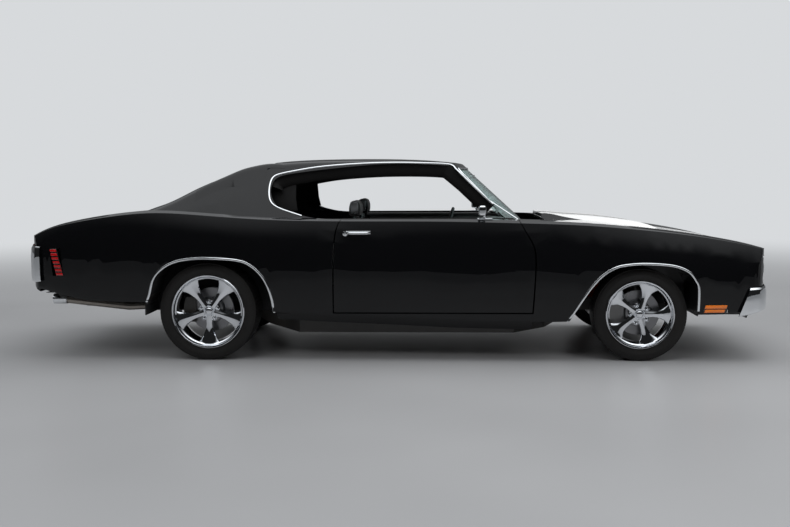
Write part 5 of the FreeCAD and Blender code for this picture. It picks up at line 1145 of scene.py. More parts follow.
@dataclass
class DoorHardware(Trade):
    """Mirror, pull handle and lock of one door, and the trim inside it."""

    def mirror_head(self) -> BMesh:
        """Returns the chrome head of the mirror with its curved stem and foot."""
        head = block((0.584, -0.896, 0.990), (0.046, 0.108, 0.066), 0.014, 5)
        foot = block((0.602, -0.852, 0.9340), (0.100, 0.028, 0.011), 0.0035, 3)
        stem = ((0.606, -0.852, 0.938), (0.600, -0.853, 0.952), (0.592, -0.858, 0.966), (0.588, -0.868, 0.980))
        line = [(Vector(place), Vector((1, 0, 0))) for place in stem]
        oval = oval_section(0.010, 0.006, 12)
        return joined([head, foot, Sweep(oval, line).build()])

    def handle(self, skin: Skin) -> BMesh:
        """Returns the pull handle with its two feet and its push button."""
        z = 0.845
        found = skin.side(-0.235, z)
        base = found[0].y if found else -0.905
        oval = oval_section(0.0062, 0.0085, 12)
        points = (
            (-0.160, 0.002), (-0.158, -0.012), (-0.168, -0.021), (-0.200, -0.024), (-0.240, -0.024),
            (-0.275, -0.022), (-0.292, -0.013), (-0.296, 0.002)
        )
        ways = [(1, -0.3, 0)] * 2 + [(0, -1, 0)] * 4 + [(-1, -0.3, 0)] * 2
        line = [(Vector((x, base + y, z)), Vector(way)) for (x, y), way in zip(points, ways)]
        pull = Sweep(oval, line).build()
        button = placed(
            spun(
                [
                    (0.0, -0.017), (0.0065, -0.0165), (0.0075, -0.014), (0.0075, -0.011), (0.0155, -0.010),
                    (0.0172, -0.007), (0.0172, 0.003)
                ],
                28
            ),
            Matrix.Translation((-0.311, base, z - 0.004)),
        )
        plate = block((-0.232, base + 0.001, z), (0.176, 0.006, 0.026), 0.0028, 3)
        lock = placed(
            spun([(0.0, -0.004), (0.0055, -0.0045), (0.0095, -0.0042), (0.0118, -0.002), (0.0120, 0.006)], 24),
            Matrix.Translation((-0.284, base - 0.006, 0.754))
        )
        return joined([pull, button, plate, lock])

    def card(self) -> BMesh:
        """Returns the trim panel inside the door with its armrest and map pocket."""
        panel = block((0.265, -0.786, 0.640), (1.060, 0.008, 0.520), 0.004, 2)
        rail = block((0.255, -0.785, 0.912), (1.090, 0.016, 0.026), 0.006, 3)
        section = ((-0.5, -0.5), (0.5, -0.5), (0.62, -0.2), (0.62, 0.25), (0.45, 0.5), (-0.5, 0.5))
        rows = (
            (-0.230, 0.030, 0.050), (-0.200, 0.044, 0.066), (0.060, 0.048, 0.066), (0.240, 0.046, 0.060),
            (0.300, 0.028, 0.040),
        )
        rest = lofted(section, [
            Matrix(
                ((0, 0, 1, x), (wide, 0, 0, -0.768), (0, tall, 0, 0.610), (0, 0, 0, 1))
            ) for x, wide, tall in rows
        ])
        channels = [
            block((-0.160 + 0.070 * index, -0.7815, 0.785), (0.060, 0.008, 0.150), 0.0038, 3)
            for index in range(13)
        ]
        return joined([panel, rail, rest] + channels)

    def levers(self) -> BMesh:
        """Returns the inside door handle and the window crank."""
        meshes = []
        for x, z, reach, drop in ((0.52, 0.720, 0.085, 0.0), (0.30, 0.520, 0.060, 0.055)):
            place = Matrix.Translation((x, -0.782, z))
            meshes.append(
                placed(
                    spun([(0.0, 0.022), (0.012, 0.021), (0.016, 0.016), (0.021, 0.004), (0.022, -0.001)], 24),
                    place
                )
            )
            start = Vector((x, -0.764, z))
            end = start + Vector((-reach, 0.012, drop))
            meshes.append(rod(start, end, 0.0055, 12, 0.004))
            if drop:
                meshes.append(rod(end - Vector((0, 0.002, 0)), end + Vector((0, 0.030, 0)), 0.009, 16, 0.005))
        return joined(meshes)

    def build(self) -> None:
        """Makes the hardware of both doors."""
        p = self.palette
        rows = (
            ("mirror", self.mirror_head(), p.chrome),
            ("mirror_glass", block((0.5602, -0.896, 0.990), (0.0030, 0.092, 0.052), 0.0012, 2), p.mirror_glass),
            ("door_pull", self.handle(Skin(("door_right",))), p.chrome),
            ("door_card", self.card(), p.vinyl),
            ("door_levers", self.levers(), p.chrome),
            ("belt_seal", block((0.225, -0.832, 0.9355), (1.130, 0.010, 0.007), 0.003, 2), p.seal),
        )
        for word, bm, finish in rows:
            for side in (Side.LEFT, Side.RIGHT):
                turned = copied(bm, MIRROR_Y if side is Side.LEFT else Matrix.Identity(4))
                replaced = (f"door_trim_{side.word}",) if word == "mirror" else ()
                self.fit(f"{word}_{side.word}", turned, finish, 40.0, replaced, f"door_{side.word}")
            bm.free()


@dataclass
class CarEnds(Trade):
    """Lamps, markers and bright trim of the nose and the tail."""

    lamp_places: tuple[Point, ...] = ((0.558, 0.607), (0.740, 0.607))
    lamp_radius: float = 0.068
    lens_radius: float = 0.0598
    lens_bulge: float = 0.37
    lens_thick: float = 0.0028
    grille_half: float = 0.829
    grille_low: float = 0.5285
    grille_high: float = 0.6835
    slat_levels: tuple[float, ...] = (0.546, 0.560, 0.574, 0.640, 0.655, 0.668)
    tail_low: Point = (0.4535, 0.6055)
    tail_high: Point = (0.8045, 0.7105)
    tail_corner: float = 0.010

    def lamp_front(self, y: float) -> float:
        """Returns how far forward the frame's own headlamp at y reaches."""
        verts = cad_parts["headlamps"].data.vertices
        return max(vertex.co.x for vertex in verts if abs(vertex.co.y - y) < self.lamp_radius)

    def headlamps(self) -> None:
        """Makes the four headlamps: bezel, reflector, shield and ribbed lens."""
        bezels, bowls, lenses = [], [], []
        for y, z in self.lamp_places:
            for side in Side:
                seat = Matrix.Translation(
                    (self.lamp_front(y * side.value), y * side.value, z)
                ) @ turned_from_y((1, 0, 0))
                ring = [
                    (0.0679, -0.034), (0.0679, -0.004), (0.0668, -0.001), (0.0645, 0.0), (0.0625, -0.0015),
                    (0.0612, -0.005), (0.0604, -0.0135), (0.0604, -0.034),
                ]
                bowl = [
                    (0.0, -0.036), (0.016, -0.0355), (0.030, -0.032), (0.043, -0.026), (0.053, -0.0185),
                    (0.0600, -0.0125), (0.0600, -0.0145), (0.052, -0.021), (0.042, -0.0285), (0.030, -0.0345),
                    (0.016, -0.038), (0.0, -0.0385),
                ]
                shield = [
                    (0.0, -0.018), (0.008, -0.0185), (0.0125, -0.021), (0.0135, -0.026), (0.0115, -0.026),
                    (0.010, -0.0225), (0.0, -0.0205),
                ]
                radii = [self.lens_radius * k / 8 for k in range(9)]
                outside = [(radius, -0.0022 - radius**2 / self.lens_bulge) for radius in radii]
                inside = [(radius, out - self.lens_thick) for radius, out in reversed(outside)]
                bezels.append(placed(spun(ring, 52, closed=True), seat))
                bowls += [placed(spun(bowl, 44), seat), placed(spun(shield, 24), seat)]
                lenses.append(placed(spun(outside + inside, 40), seat))
        p = self.palette
        self.fit("headlamp_bezels", joined(bezels), p.chrome, 40.0, ("headlamps",))
        self.fit("headlamp_bowls", joined(bowls), p.mirror_glass)
        self.fit("headlamp_lenses", joined(lenses), p.lens, 50.0)

    def grille_trim(self) -> None:
        """Makes the fine upright slats behind the grille's bars and the bright line round its mouth."""
        skin = Skin(("nose_panel",))
        meshes, stations = [], []
        back = Skin(("grille",))
        middle = (self.grille_low + self.grille_high) / 2
        for index in range(-66, 67):
            y = index * 0.0071
            places = [back.ahead((OUTSIDE_X, y, z), BACKWARD) for z in self.slat_levels]
            depths = [found[0].x for found in places if found is not None]
            if depths:
                meshes.append(
                    block(
                        (min(depths) + 0.0035, y, middle),
                        (0.006, 0.0016, self.grille_high - self.grille_low - 0.010)
                    )
                )
        self.fit("grille_slats", joined(meshes), self.palette.satin)
        half, inset, out = self.grille_half - 0.004, 0.022, 0.0035
        top, foot = self.grille_high + out, self.grille_low - out
        span, turns = half - inset, [math.pi / 8 * k for k in (1, 2, 3)]
        rows = [(span - 2 * span * k / 44, top) for k in range(45)]
        rows += [(-half + inset * (1 - math.sin(t)), top - inset * (1 - math.cos(t))) for t in turns]
        drop = self.grille_high - self.grille_low - 2 * inset
        rows += [(-half, self.grille_high - inset - drop * k / 6) for k in range(7)]
        rows += [(-half + inset * (1 - math.cos(t)), foot + inset * (1 - math.sin(t))) for t in turns]
        rows += [(-span + 2 * span * k / 44, foot) for k in range(45)]
        rows += [(-y, z) for y, z in reversed(rows[45:58])]
        for y, z in rows:
            level = self.grille_high + 0.008 if z > middle else self.grille_low - 0.008
            found = skin.ahead((OUTSIDE_X, min(max(y, -half), half), level), BACKWARD)
            if found is not None:
                stations.append((Vector((found[0].x - 0.001, y, z)), Vector((1, 0, 0))))
        profile = (
            (-0.003, -0.0032), (0.0015, -0.0032), (0.003, -0.0015), (0.003, 0.0015), (0.0015, 0.0032),
            (-0.003, 0.0032)
        )
        strip = Sweep(profile, stations, True).build()
        self.fit("grille_line", strip, self.palette.chrome, 50.0)

    def marker(
        self, name: str, bars: Sequence[Bar], housing: Sequence[Point], node: str, lens: Material,
    ) -> None:
        """Makes one kind of side marker on both sides.

        Args:
            name: the piece's name.
            bars: (x at the rear, x at the front, z at the foot, z at the top, slant) of each lens bar.
            housing: (x, z) corners of its dark seat.
            node: node that it stands for.
            lens: its finish.
        """
        skin = Skin(("front_fenders", "body_shell", "front_markers", "rear_markers"))
        lenses = []
        for rear, front, low, high, slant in bars:
            outline = ((rear, low), (front, low), (front + slant, high), (rear + slant, high))
            corners = [skin.side(x, z)[0] + Vector((0, 0.002, 0)) for x, z in outline]
            lenses.append(eased(thickened(corners, -0.0038), 0.0012, 2))
        corners = [skin.side(x, z)[0] + Vector((0, 0.004, 0)) for x, z in housing]
        self.fit_pair(f"{name}_seats", eased(thickened(corners, -0.0046), 0.001, 2), self.palette.satin, 40.0)
        self.fit_pair(f"{name}_lenses", joined(lenses), lens, 40.0, (node,))

    def markers(self) -> None:
        """Makes the amber markers of the fenders and the red ones of the quarter panels."""
        front = ((2.0145, 2.1555, 0.3535, 0.3755, 0.006), (2.0125, 2.1425, 0.3275, 0.3475, 0.005))
        seat = ((2.0115, 0.3250), (2.1600, 0.3250), (2.1655, 0.3780), (2.0135, 0.3780))
        self.marker("front_marker", front, seat, "front_markers", self.palette.amber)
        rear = []
        for index in range(7):
            low, back = 0.5685 + index * 0.0258, index * 0.0071
            rear.append((-2.2360 - back, -2.1905 - back, low, low + 0.0165, -0.0046))
        seat = ((-2.2370, 0.5655), (-2.1880, 0.5655), (-2.2345, 0.7475), (-2.2835, 0.7475))
        self.marker("rear_marker", rear, seat, "rear_markers", self.palette.red)

    def on_tail(self, skin: Skin, rows: Sequence[Point]) -> list[Station]:
        """Lays (y, z) points on the tail and returns stations that look back."""
        hits = [skin.ahead((-OUTSIDE_X, y, z), FORWARD) for y, z in rows]
        return [
            (Vector((found[0].x, y, z)), Vector((-1, 0, 0)))
            for found, (y, z) in zip(hits, rows) if found is not None
        ]

    def tail_frames(self) -> None:
        """Makes the bright frames and middle ribs of the tail lamps."""
        skin = Skin(("rear_bumper", "tail_lamps"))
        meshes = []
        frame_profile = (
            (-0.003, -0.004), (0.002, -0.004), (0.0035, -0.0015), (0.0035, 0.0015), (0.002, 0.004),
            (-0.003, 0.004),
        )
        rib_profile = ((-0.003, -0.0022), (0.001, -0.0022), (0.0022, 0.0), (0.001, 0.0022), (-0.003, 0.0022))
        (low_y, low_z), (high_y, high_z), r = self.tail_low, self.tail_high, self.tail_corner
        span, bends = high_y - low_y - 2 * r, (math.pi / 6, math.pi / 3)
        rows = [(low_y + r + span * k / 10, low_z) for k in range(11)]
        rows += [(high_y - r + r * math.sin(t), low_z + r - r * math.cos(t)) for t in bends]
        rows += [(high_y, low_z + r), (high_y, high_z - r)]
        rows += [(high_y - r + r * math.cos(t), high_z - r + r * math.sin(t)) for t in bends]
        rows += [(high_y - r - span * k / 10, high_z) for k in range(11)]
        rows += [(low_y + r - r * math.sin(t), high_z - r + r * math.cos(t)) for t in bends]
        rows += [(low_y, high_z - r), (low_y, low_z + r)]
        rows += [(low_y + r - r * math.cos(t), low_z + r - r * math.sin(t)) for t in bends]
        rib = [(low_y + (high_y - low_y) * k / 10, (low_z + high_z) / 2) for k in range(11)]
        for side in Side:
            for line, profile, loop in ((rows, frame_profile, True), (rib, rib_profile, False)):
                stations = self.on_tail(skin, [(y * side.value, z) for y, z in line])
                meshes.append(Sweep(profile, stations, loop).build())
        self.fit("tail_frames", joined(meshes), self.palette.chrome, 45.0)

    def wipers(self) -> None:
        """Makes the two wipers: pivot, arm and blade with its rubber."""
        metal, rubber = [], []
        for pivot_y in (-0.430, 0.180):
            boss = [
                (0.0, 0.017), (0.005, 0.0165), (0.010, 0.013), (0.0115, 0.004), (0.0118, -0.0015),
                (0.0, -0.0015)
            ]
            metal.append(stood(spun(boss, 24), (0.954, pivot_y, 0.864)))
            start, end = Vector((0.954, pivot_y + 0.004, 0.8755)), Vector((0.9455, pivot_y + 0.250, 0.8745))
            arm = [(-0.0022, -0.0055), (0.0022, -0.0045), (0.0022, 0.0045), (-0.0022, 0.0055)]
            metal.append(Sweep(arm, [(start.lerp(end, k / 6), Vector((0, 0, 1))) for k in range(7)]).build())
            low, high = Vector((0.9500, pivot_y + 0.050, 0.8700)), Vector((0.9430, pivot_y + 0.398, 0.8690))
            spine = [
                (low.lerp(high, k / 8) + Vector((0, 0, 0.0035 - 0.003 * (k / 4 - 1) ** 2)), Vector((0, 0, 1)))
                for k in range(9)
            ]
            metal.append(
                Sweep(((-0.0015, -0.003), (0.0015, -0.002), (0.0015, 0.002), (-0.0015, 0.003)), spine).build()
            )
            lip = [(low.lerp(high, k / 8) + Vector((0, 0, -0.0025)), Vector((-0.3, 0, 1))) for k in range(9)]
            blade = ((-0.0035, -0.0008), (0.0030, -0.0024), (0.0030, 0.0024), (-0.0035, 0.0008))
            rubber.append(Sweep(blade, lip).build())
        self.fit("wiper_arms", joined(metal), self.palette.satin, 40.0, ("wipers",))
        self.fit("wiper_blades", joined(rubber), self.palette.seal, 40.0, slot="tyre_rubber")

    def tips(self) -> None:
        """Makes the bright sleeves on the ends of the exhaust pipes."""
        verts = [vertex.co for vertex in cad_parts["exhaust_system"].data.vertices]
        last = min(co.x for co in verts)
        near = [co for co in verts if co.x < last + 0.004 and co.y < 0]
        y = (min(co.y for co in near) + max(co.y for co in near)) / 2
        z = (min(co.z for co in near) + max(co.z for co in near)) / 2
        sleeve = [
            (0.0345, 0.095), (0.0362, 0.090), (0.0362, 0.006), (0.0350, 0.0015), (0.0322, 0.0012),
            (0.0306, 0.006), (0.0300, 0.060), (0.0342, 0.092),
        ]
        one = stood(spun(sleeve, 40, closed=True), (last - 0.001, y, z), (1, 0, 0))
        self.fit_pair("exhaust_sleeves", one, self.palette.chrome, 40.0)

    def build(self) -> None:
        """Makes every piece of both ends."""
        for work in (self.headlamps, self.grille_trim, self.markers, self.tail_frames, self.wipers, self.tips):
            work()


@dataclass
class Upholstery(Trade):
    """Makes padded pieces: a stitched shell that is blown up by cloth simulation."""

    frames: int = 20
    pressure: float = 4.0
    seat_y: float = 0.370
    channel_depth: float = 0.006
    dish_half: float = 0.150
    dish_depth: float = 0.007

    def shell(self, outline: Sequence[Point], low_y: float, high_y: float, inset: float, ease: float) -> BMesh:
        """Makes the flat-sided form that a cushion starts from.

        Args:
            outline: (x, z) points of its side, counter to the clock or not.
            low_y: where one side lies.
            high_y: where the other side lies.
            inset: how much smaller it starts.
            ease: how far its edges are rounded.
        Returns:
            The mesh.
        """
        bm = thickened([(x, low_y + inset, z) for x, z in outline], high_y - low_y - 2 * inset)
        count = len(bm.verts)
        centre = Vector((sum(v.co.x for v in bm.verts) / count, 0, sum(v.co.z for v in bm.verts) / count))
        for vertex in bm.verts:
            run = Vector((vertex.co.x - centre.x, 0, vertex.co.z - centre.z))
            vertex.co -= run.normalized() * min(inset, run.length)
        return eased(bm, ease, 3, clamped=True)

    def applied(self, item: Object) -> Mesh:
        """Makes an object's modified shape its own mesh and returns it."""
        item.data = bpy.data.meshes.new_from_object(item.evaluated_get(bpy.context.evaluated_depsgraph_get()))
        item.modifiers.clear()
        return item.data

    def puffed(self, bm: BMesh, voxel: float, cap: float) -> BMesh:
        """Blows a form up as stuffed cloth.

        Args:
            bm: the form, which is freed.
            voxel: size of the remesh.
            cap: how far a point may move.
        Returns:
            The blown-up mesh.
        """
        mesh = bpy.data.meshes.new("form")
        bm.to_mesh(mesh)
        bm.free()
        item = bpy.data.objects.new("form", mesh)
        scene = bpy.context.scene
        scene.collection.objects.link(item)
        remesh = item.modifiers.new("remesh", "REMESH")
        remesh.mode = "VOXEL"
        remesh.voxel_size = voxel * 1.0
        even = self.applied(item)
        start = [vertex.co.copy() for vertex in even.vertices]
        cloth = item.modifiers.new("cloth", "CLOTH")
        cloth.settings.use_pressure = True
        cloth.settings.uniform_pressure_force = self.pressure
        cloth.settings.effector_weights.gravity = 0.0
        cloth.settings.quality = 4
        cloth.settings.mass = 0.3
        cloth.point_cache.frame_start = 1
        cloth.point_cache.frame_end = self.frames
        for number in range(1, self.frames + 1):
            scene.frame_set(number)
        for vertex, before in zip(self.applied(item).vertices, start):
            move = vertex.co - before
            if move.length > cap:
                vertex.co = before + move.normalized() * cap
        scene.frame_set(1)
        result = bmesh.new()
        result.from_mesh(item.data)
        bpy.data.objects.remove(item)
        return result

    def channels(
        self, bm: BMesh, lines: Sequence[float], half_range: Point, facing: Vector, width: float,
    ) -> None:
        """Presses sewn channels along the car into the side of a cushion that faces one way.

        Args:
            bm: the cushion.
            lines: distances of the channels from its middle.
            half_range: (from, to) distances from its middle between which they lie.
            facing: the way the side faces.
            width: how wide they are.
        """
        bm.normal_update()
        pushes = []
        for vertex in bm.verts:
            level = vertex.normal.dot(facing)
            across = abs(vertex.co.y)
            if level > 0.35 and half_range[0] - 0.02 < across < half_range[1] + 0.02:
                amount = sum(math.exp(-((across - line) / width) ** 2) for line in lines)
                pushes.append((vertex, min(amount, 1.0) * self.channel_depth * min((level - 0.35) / 0.3, 1.0)))
        for vertex, amount in pushes:
            vertex.co -= facing * amount

    def cushion(self, name: str, bm: BMesh, replaced: Sequence[str] = (), fill: float = 0.7) -> None:
        item = self.fit(name, bm, self.palette.vinyl, 180.0, replaced)
        smooth = item.modifiers.new("smooth", "SUBSURF")
        smooth.levels = smooth.render_levels = 1

    def bucket_seats(self) -> None:
        """Makes the two front seats: cushion, back with bolsters, headrest with bright sides, and base."""
        cushion_side = (
            (0.190, 0.330), (0.232, 0.395), (0.216, 0.458), (0.150, 0.478), (-0.060, 0.452), (-0.180, 0.440),
            (-0.292, 0.430), (-0.325, 0.310), (0.150, 0.298),
        )
        back_side = (
            (-0.158, 0.470), (-0.203, 0.565), (-0.267, 0.800), (-0.293, 0.892), (-0.330, 0.908),
            (-0.366, 0.890), (-0.362, 0.780), (-0.345, 0.600), (-0.318, 0.470),
        )
        rest_side = (
            (-0.240, 0.936), (-0.233, 1.000), (-0.246, 1.044), (-0.282, 1.058), (-0.314, 1.048),
            (-0.328, 1.000), (-0.326, 0.940), (-0.300, 0.932),
        )
        seat = self.puffed(self.shell(cushion_side, -0.232, 0.232, 0.009, 0.022), 0.0065, 0.011)
        back = self.puffed(self.shell(back_side, -0.232, 0.232, 0.009, 0.022), 0.0065, 0.011)
        rest = self.puffed(self.shell(rest_side, -0.138, 0.138, 0.007, 0.014), 0.0055, 0.008)
        lines = [0.0, 0.045, 0.090, 0.135]
        self.channels(seat, lines, (0.0, self.dish_half), Vector((0, 0, 1)), 0.006)
        self.channels(back, lines, (0.0, self.dish_half), Vector((0.96, 0, 0.27)).normalized(), 0.006)
        for bm, facing in ((seat, Vector((0, 0, 1))), (back, Vector((1, 0, 0.2)))):
            for vertex in bm.verts:
                edge = abs(vertex.co.y)
                if edge <= self.dish_half and vertex.normal.dot(facing) > 0.5:
                    vertex.co -= vertex.normal * self.dish_depth * (1 - (edge / self.dish_half) ** 4)
        for side in Side:
            move = Matrix.Translation((0, self.seat_y * side.value, 0))
            word = side.word
            self.cushion(f"seat_cushion_{word}", copied(seat, move), (f"seat_{word}",))
            self.cushion(f"seat_back_{word}", copied(back, move))
            self.cushion(f"headrest_{word}", copied(rest, move), fill=0.8)
            frames = [
                block((-0.065, 0, 0.280), (0.470, 0.380, 0.044), 0.010, 3),
                block((-0.345, 0, 0.640), (0.014, 0.400, 0.330), 0.006, 3),
            ]
            self.fit(
                f"seat_base_{word}", joined([placed(bm, move) for bm in frames]), self.palette.plastic, 40.0
            )
            posts = [rod((-0.292, y, 0.890), (-0.284, y, 0.950), 0.006, 16, 0.001) for y in (-0.060, 0.060)]
            for way in (-1, 1):
                plate = block((-0.283, way * 0.1375, 0.998), (0.052, 0.005, 0.086), 0.0024, 3)
                hinge = rod((-0.320, way * 0.2335, 0.452), (-0.320, way * 0.226, 0.452), 0.026, 28, 0.003)
                posts += [plate, hinge]
            posts += [
                rod((0.160, way * 0.196, 0.268), (-0.280, way * 0.196, 0.268), 0.009, 12, 0.002)
                for way in (-1, 1)
            ]
            self.fit(
                f"seat_brightwork_{word}", joined([placed(bm, move) for bm in posts]), self.palette.brushed,
                40.0
            )
        for bm in (seat, back, rest):
            bm.free()

    def rear_bench(self) -> None:
        """Makes the rear seat: one cushion and one back with channels."""
        cushion_side = (
            (-0.570, 0.392), (-0.570, 0.436), (-0.562, 0.470), (-0.586, 0.502), (-0.660, 0.508),
            (-0.960, 0.466), (-0.968, 0.392),
        )
        back_side = (
            (-0.915, 0.500), (-0.972, 0.640), (-1.034, 0.826), (-1.056, 0.860), (-1.086, 0.864),
            (-1.094, 0.800), (-1.094, 0.578), (-0.990, 0.574), (-0.985, 0.500),
        )
        seat = self.puffed(self.shell(cushion_side, -0.588, 0.588, 0.008, 0.018), 0.009, 0.010)
        back = self.puffed(self.shell(back_side, -0.588, 0.588, 0.008, 0.018), 0.009, 0.010)
        lines = [0.055 + 0.052 * k for k in range(9)]
        self.channels(seat, lines, (0.05, 0.49), Vector((0, 0, 1)), 0.007)
        self.channels(back, lines, (0.05, 0.49), Vector((0.94, 0, 0.34)).normalized(), 0.007)
        self.cushion("rear_seat_cushion", seat, ("rear_seat",))
        self.cushion("rear_seat_back", back)

    def build(self) -> None:
        """Makes all the seats."""
        self.bucket_seats()
        self.rear_bench()


@dataclass
class Cockpit(Trade):
    """Steering wheel, gauges, console controls, pedals and the cabin mirror."""

    centre: Place = (0.352, 0.370, 0.800)
    axis: Place = (-0.9538, 0.0, 0.3004)
    rim_radius: float = 0.176
    grip_radius: float = 0.0118

    def steering_wheel(self) -> None:
        """Makes the rim, the three spokes and the horn cap."""
        seat = Matrix.Translation(self.centre) @ turned_from_y(self.axis)
        grip = self.grip_radius
        section = [(self.rim_radius + radius, y) for radius, y in oval_section(grip, grip, 16)]
        rim = placed(spun(section, 72, closed=True), seat)
        up = seat.inverted() @ (Vector(self.centre) + Vector((self.axis[2], 0, -self.axis[0])))
        start = math.degrees(math.atan2(up.x, up.z))
        spokes = []
        for turn in (start + 90, start - 90, start + 180):
            spoke = block((0, -0.014, 0.104), (0.030, 0.004, 0.140), 0.0015, 2)
            for vertex in spoke.verts:
                vertex.co.x *= 1.25 - 3.4 * (vertex.co.z - 0.034) if vertex.co.z < 0.14 else 0.9
                vertex.co.y += 0.10 * (vertex.co.z - 0.036)
            spokes.append(placed(spoke, seat @ Matrix.Rotation(math.radians(turn), 4, "Y")))
        hub = [
            (0.0, 0.020), (0.018, 0.019), (0.034, 0.014), (0.043, 0.004), (0.048, -0.010), (0.050, -0.026),
            (0.030, -0.030), (0.0, -0.030)
        ]
        cap = placed(spun(hub, 40), seat)
        self.fit(
            "steering_rim", joined([rim, cap]), self.palette.plastic, 50.0, ("steering_wheel",),
            body="steering_wheel"
        )
        self.fit("steering_spokes", joined(spokes), self.palette.brushed, 40.0, body="steering_wheel")

    def gauges(self) -> None:
        """Makes the round gauges with bezels, faces, marks and needles, and the vents and radio."""
        skin = Skin(("dashboard",))
        rings, faces, marks = [], [], []
        for y, radius in ((0.535, 0.036), (0.445, 0.048), (0.320, 0.048), (0.215, 0.036), (0.150, 0.024)):
            found = skin.ahead((CABIN_X, y, 0.800), FORWARD)
            if found is None:
                continue
            seat = Matrix.Translation(found[0]) @ turned_from_y(found[1])
            ring = [
                (radius, -0.004), (radius, 0.008), (radius - 0.002, 0.010), (radius - 0.005, 0.008),
                (radius - 0.007, 0.001), (radius - 0.007, -0.004)
            ]
            rings.append(placed(spun(ring, 40, closed=True), seat))
            face = [(0.0, 0.0025), (radius - 0.007, 0.0022), (radius - 0.007, -0.004), (0.0, -0.004)]
            faces.append(placed(spun(face, 32), seat))
            for index in range(11):
                turn = Matrix.Rotation(math.radians(-130 + 26 * index), 4, "Y")
                tick = block((0, 0.0030, radius - 0.0125), (0.0012, 0.0008, 0.006))
                marks.append(placed(tick, seat @ turn))
            needle = block((0, 0.0042, 0.30 * radius), (0.0014, 0.0008, 0.75 * radius))
            marks.append(placed(needle, seat @ Matrix.Rotation(math.radians(-40), 4, "Y")))
        for y in (-0.620, -0.100, 0.640):
            found = skin.ahead((CABIN_X, y, 0.812), FORWARD)
            if found is not None:
                for row in range(5):
                    faces.append(block((found[0].x, y, 0.796 + 0.008 * row), (0.006, 0.090, 0.003), 0.001, 1))
        found = skin.ahead((CABIN_X, 0.0, 0.745), FORWARD)
        if found is not None:
            seat = Matrix.Translation(found[0]) @ turned_from_y(found[1])
            faces.append(
                placed(
                    block((0, 0.0, 0), (0.170, 0.010, 0.050), 0.003, 2),
                    seat @ Matrix.Rotation(math.pi / 2, 4, "Y")
                )
            )
            for x in (-0.072, 0.072):
                rings.append(
                    placed(
                        spun([(0.0, 0.016), (0.007, 0.016), (0.009, 0.013), (0.010, 0.0)], 20),
                        seat @ Matrix.Translation((0, 0, x))
                    )
                )
        self.fit("gauge_bezels", joined(rings), self.palette.chrome, 40.0)
        self.fit("gauge_faces", joined(faces), self.palette.dial, 40.0)
        self.fit("gauge_marks", joined(marks), self.palette.white_mark, 40.0)

    def controls(self) -> None:
        """Makes the shift lever, the pedals and the cabin mirror."""
        bright = [
            rod((0.176, 0, 0.512), (0.180, 0, 0.656), 0.0066, 16, 0.001),
            stood(
                spun([(0.0, 0.0), (0.030, 0.001), (0.036, 0.006), (0.034, 0.010), (0.0, 0.012)], 32),
                (0.178, 0, 0.519)
            ),
        ]
        knob = stood(
            spun(
                [
                    (0.0, 0.048), (0.010, 0.047), (0.019, 0.041), (0.0235, 0.030), (0.0230, 0.018),
                    (0.016, 0.006), (0.009, 0.0), (0.0, 0.0)
                ],
                32
            ),
            (0.180, 0, 0.632)
        )
        dark = [knob, block((0.110, 0, 0.5225), (0.330, 0.120, 0.006), 0.0025, 2)]
        for y, wide in ((0.250, 0.060), (0.350, 0.090), (0.450, 0.090)):
            pad = block((0, 0, 0), (0.012, wide, 0.060 if wide > 0.07 else 0.130), 0.004, 2)
            lean = Matrix.Rotation(math.radians(-24), 4, "Y")
            dark.append(placed(pad, Matrix.Translation((0.800, y, 0.420)) @ lean))
            bright.append(rod((0.806, y, 0.430), (0.868, y, 0.640), 0.006, 12, 0.001))
        self.fit("cabin_controls", joined(dark), self.palette.plastic, 45.0)
        self.fit("cabin_rods", joined(bright), self.palette.chrome, 45.0)
        glass = Skin(("windscreen", "body_shell"))
        found = glass.ahead((0.30, 0.0, 1.205), FORWARD)
        reach = found[0].x if found is not None else 0.52
        head = block((reach - 0.080, 0, 1.185), (0.022, 0.250, 0.062), 0.009, 4)
        stalk = rod((reach - 0.072, 0, 1.188), (reach - 0.003, 0, 1.208), 0.0065, 14, 0.001)
        foot = stood(
            spun([(0.0, 0.010), (0.012, 0.009), (0.016, 0.002), (0.016, 0.0)], 24), (reach - 0.004, 0, 1.208),
            (-1, 0, 0)
        )
        self.fit("cabin_mirror", joined([head, stalk, foot]), self.palette.satin, 45.0)
        self.fit(
            "cabin_mirror_glass", block((reach - 0.0917, 0, 1.185), (0.0016, 0.232, 0.048), 0.0006, 1),
            self.palette.mirror_glass
        )

    def build(self) -> None:
        """Makes everything the driver handles."""
        for work in (self.steering_wheel, self.gauges, self.controls):
            work()


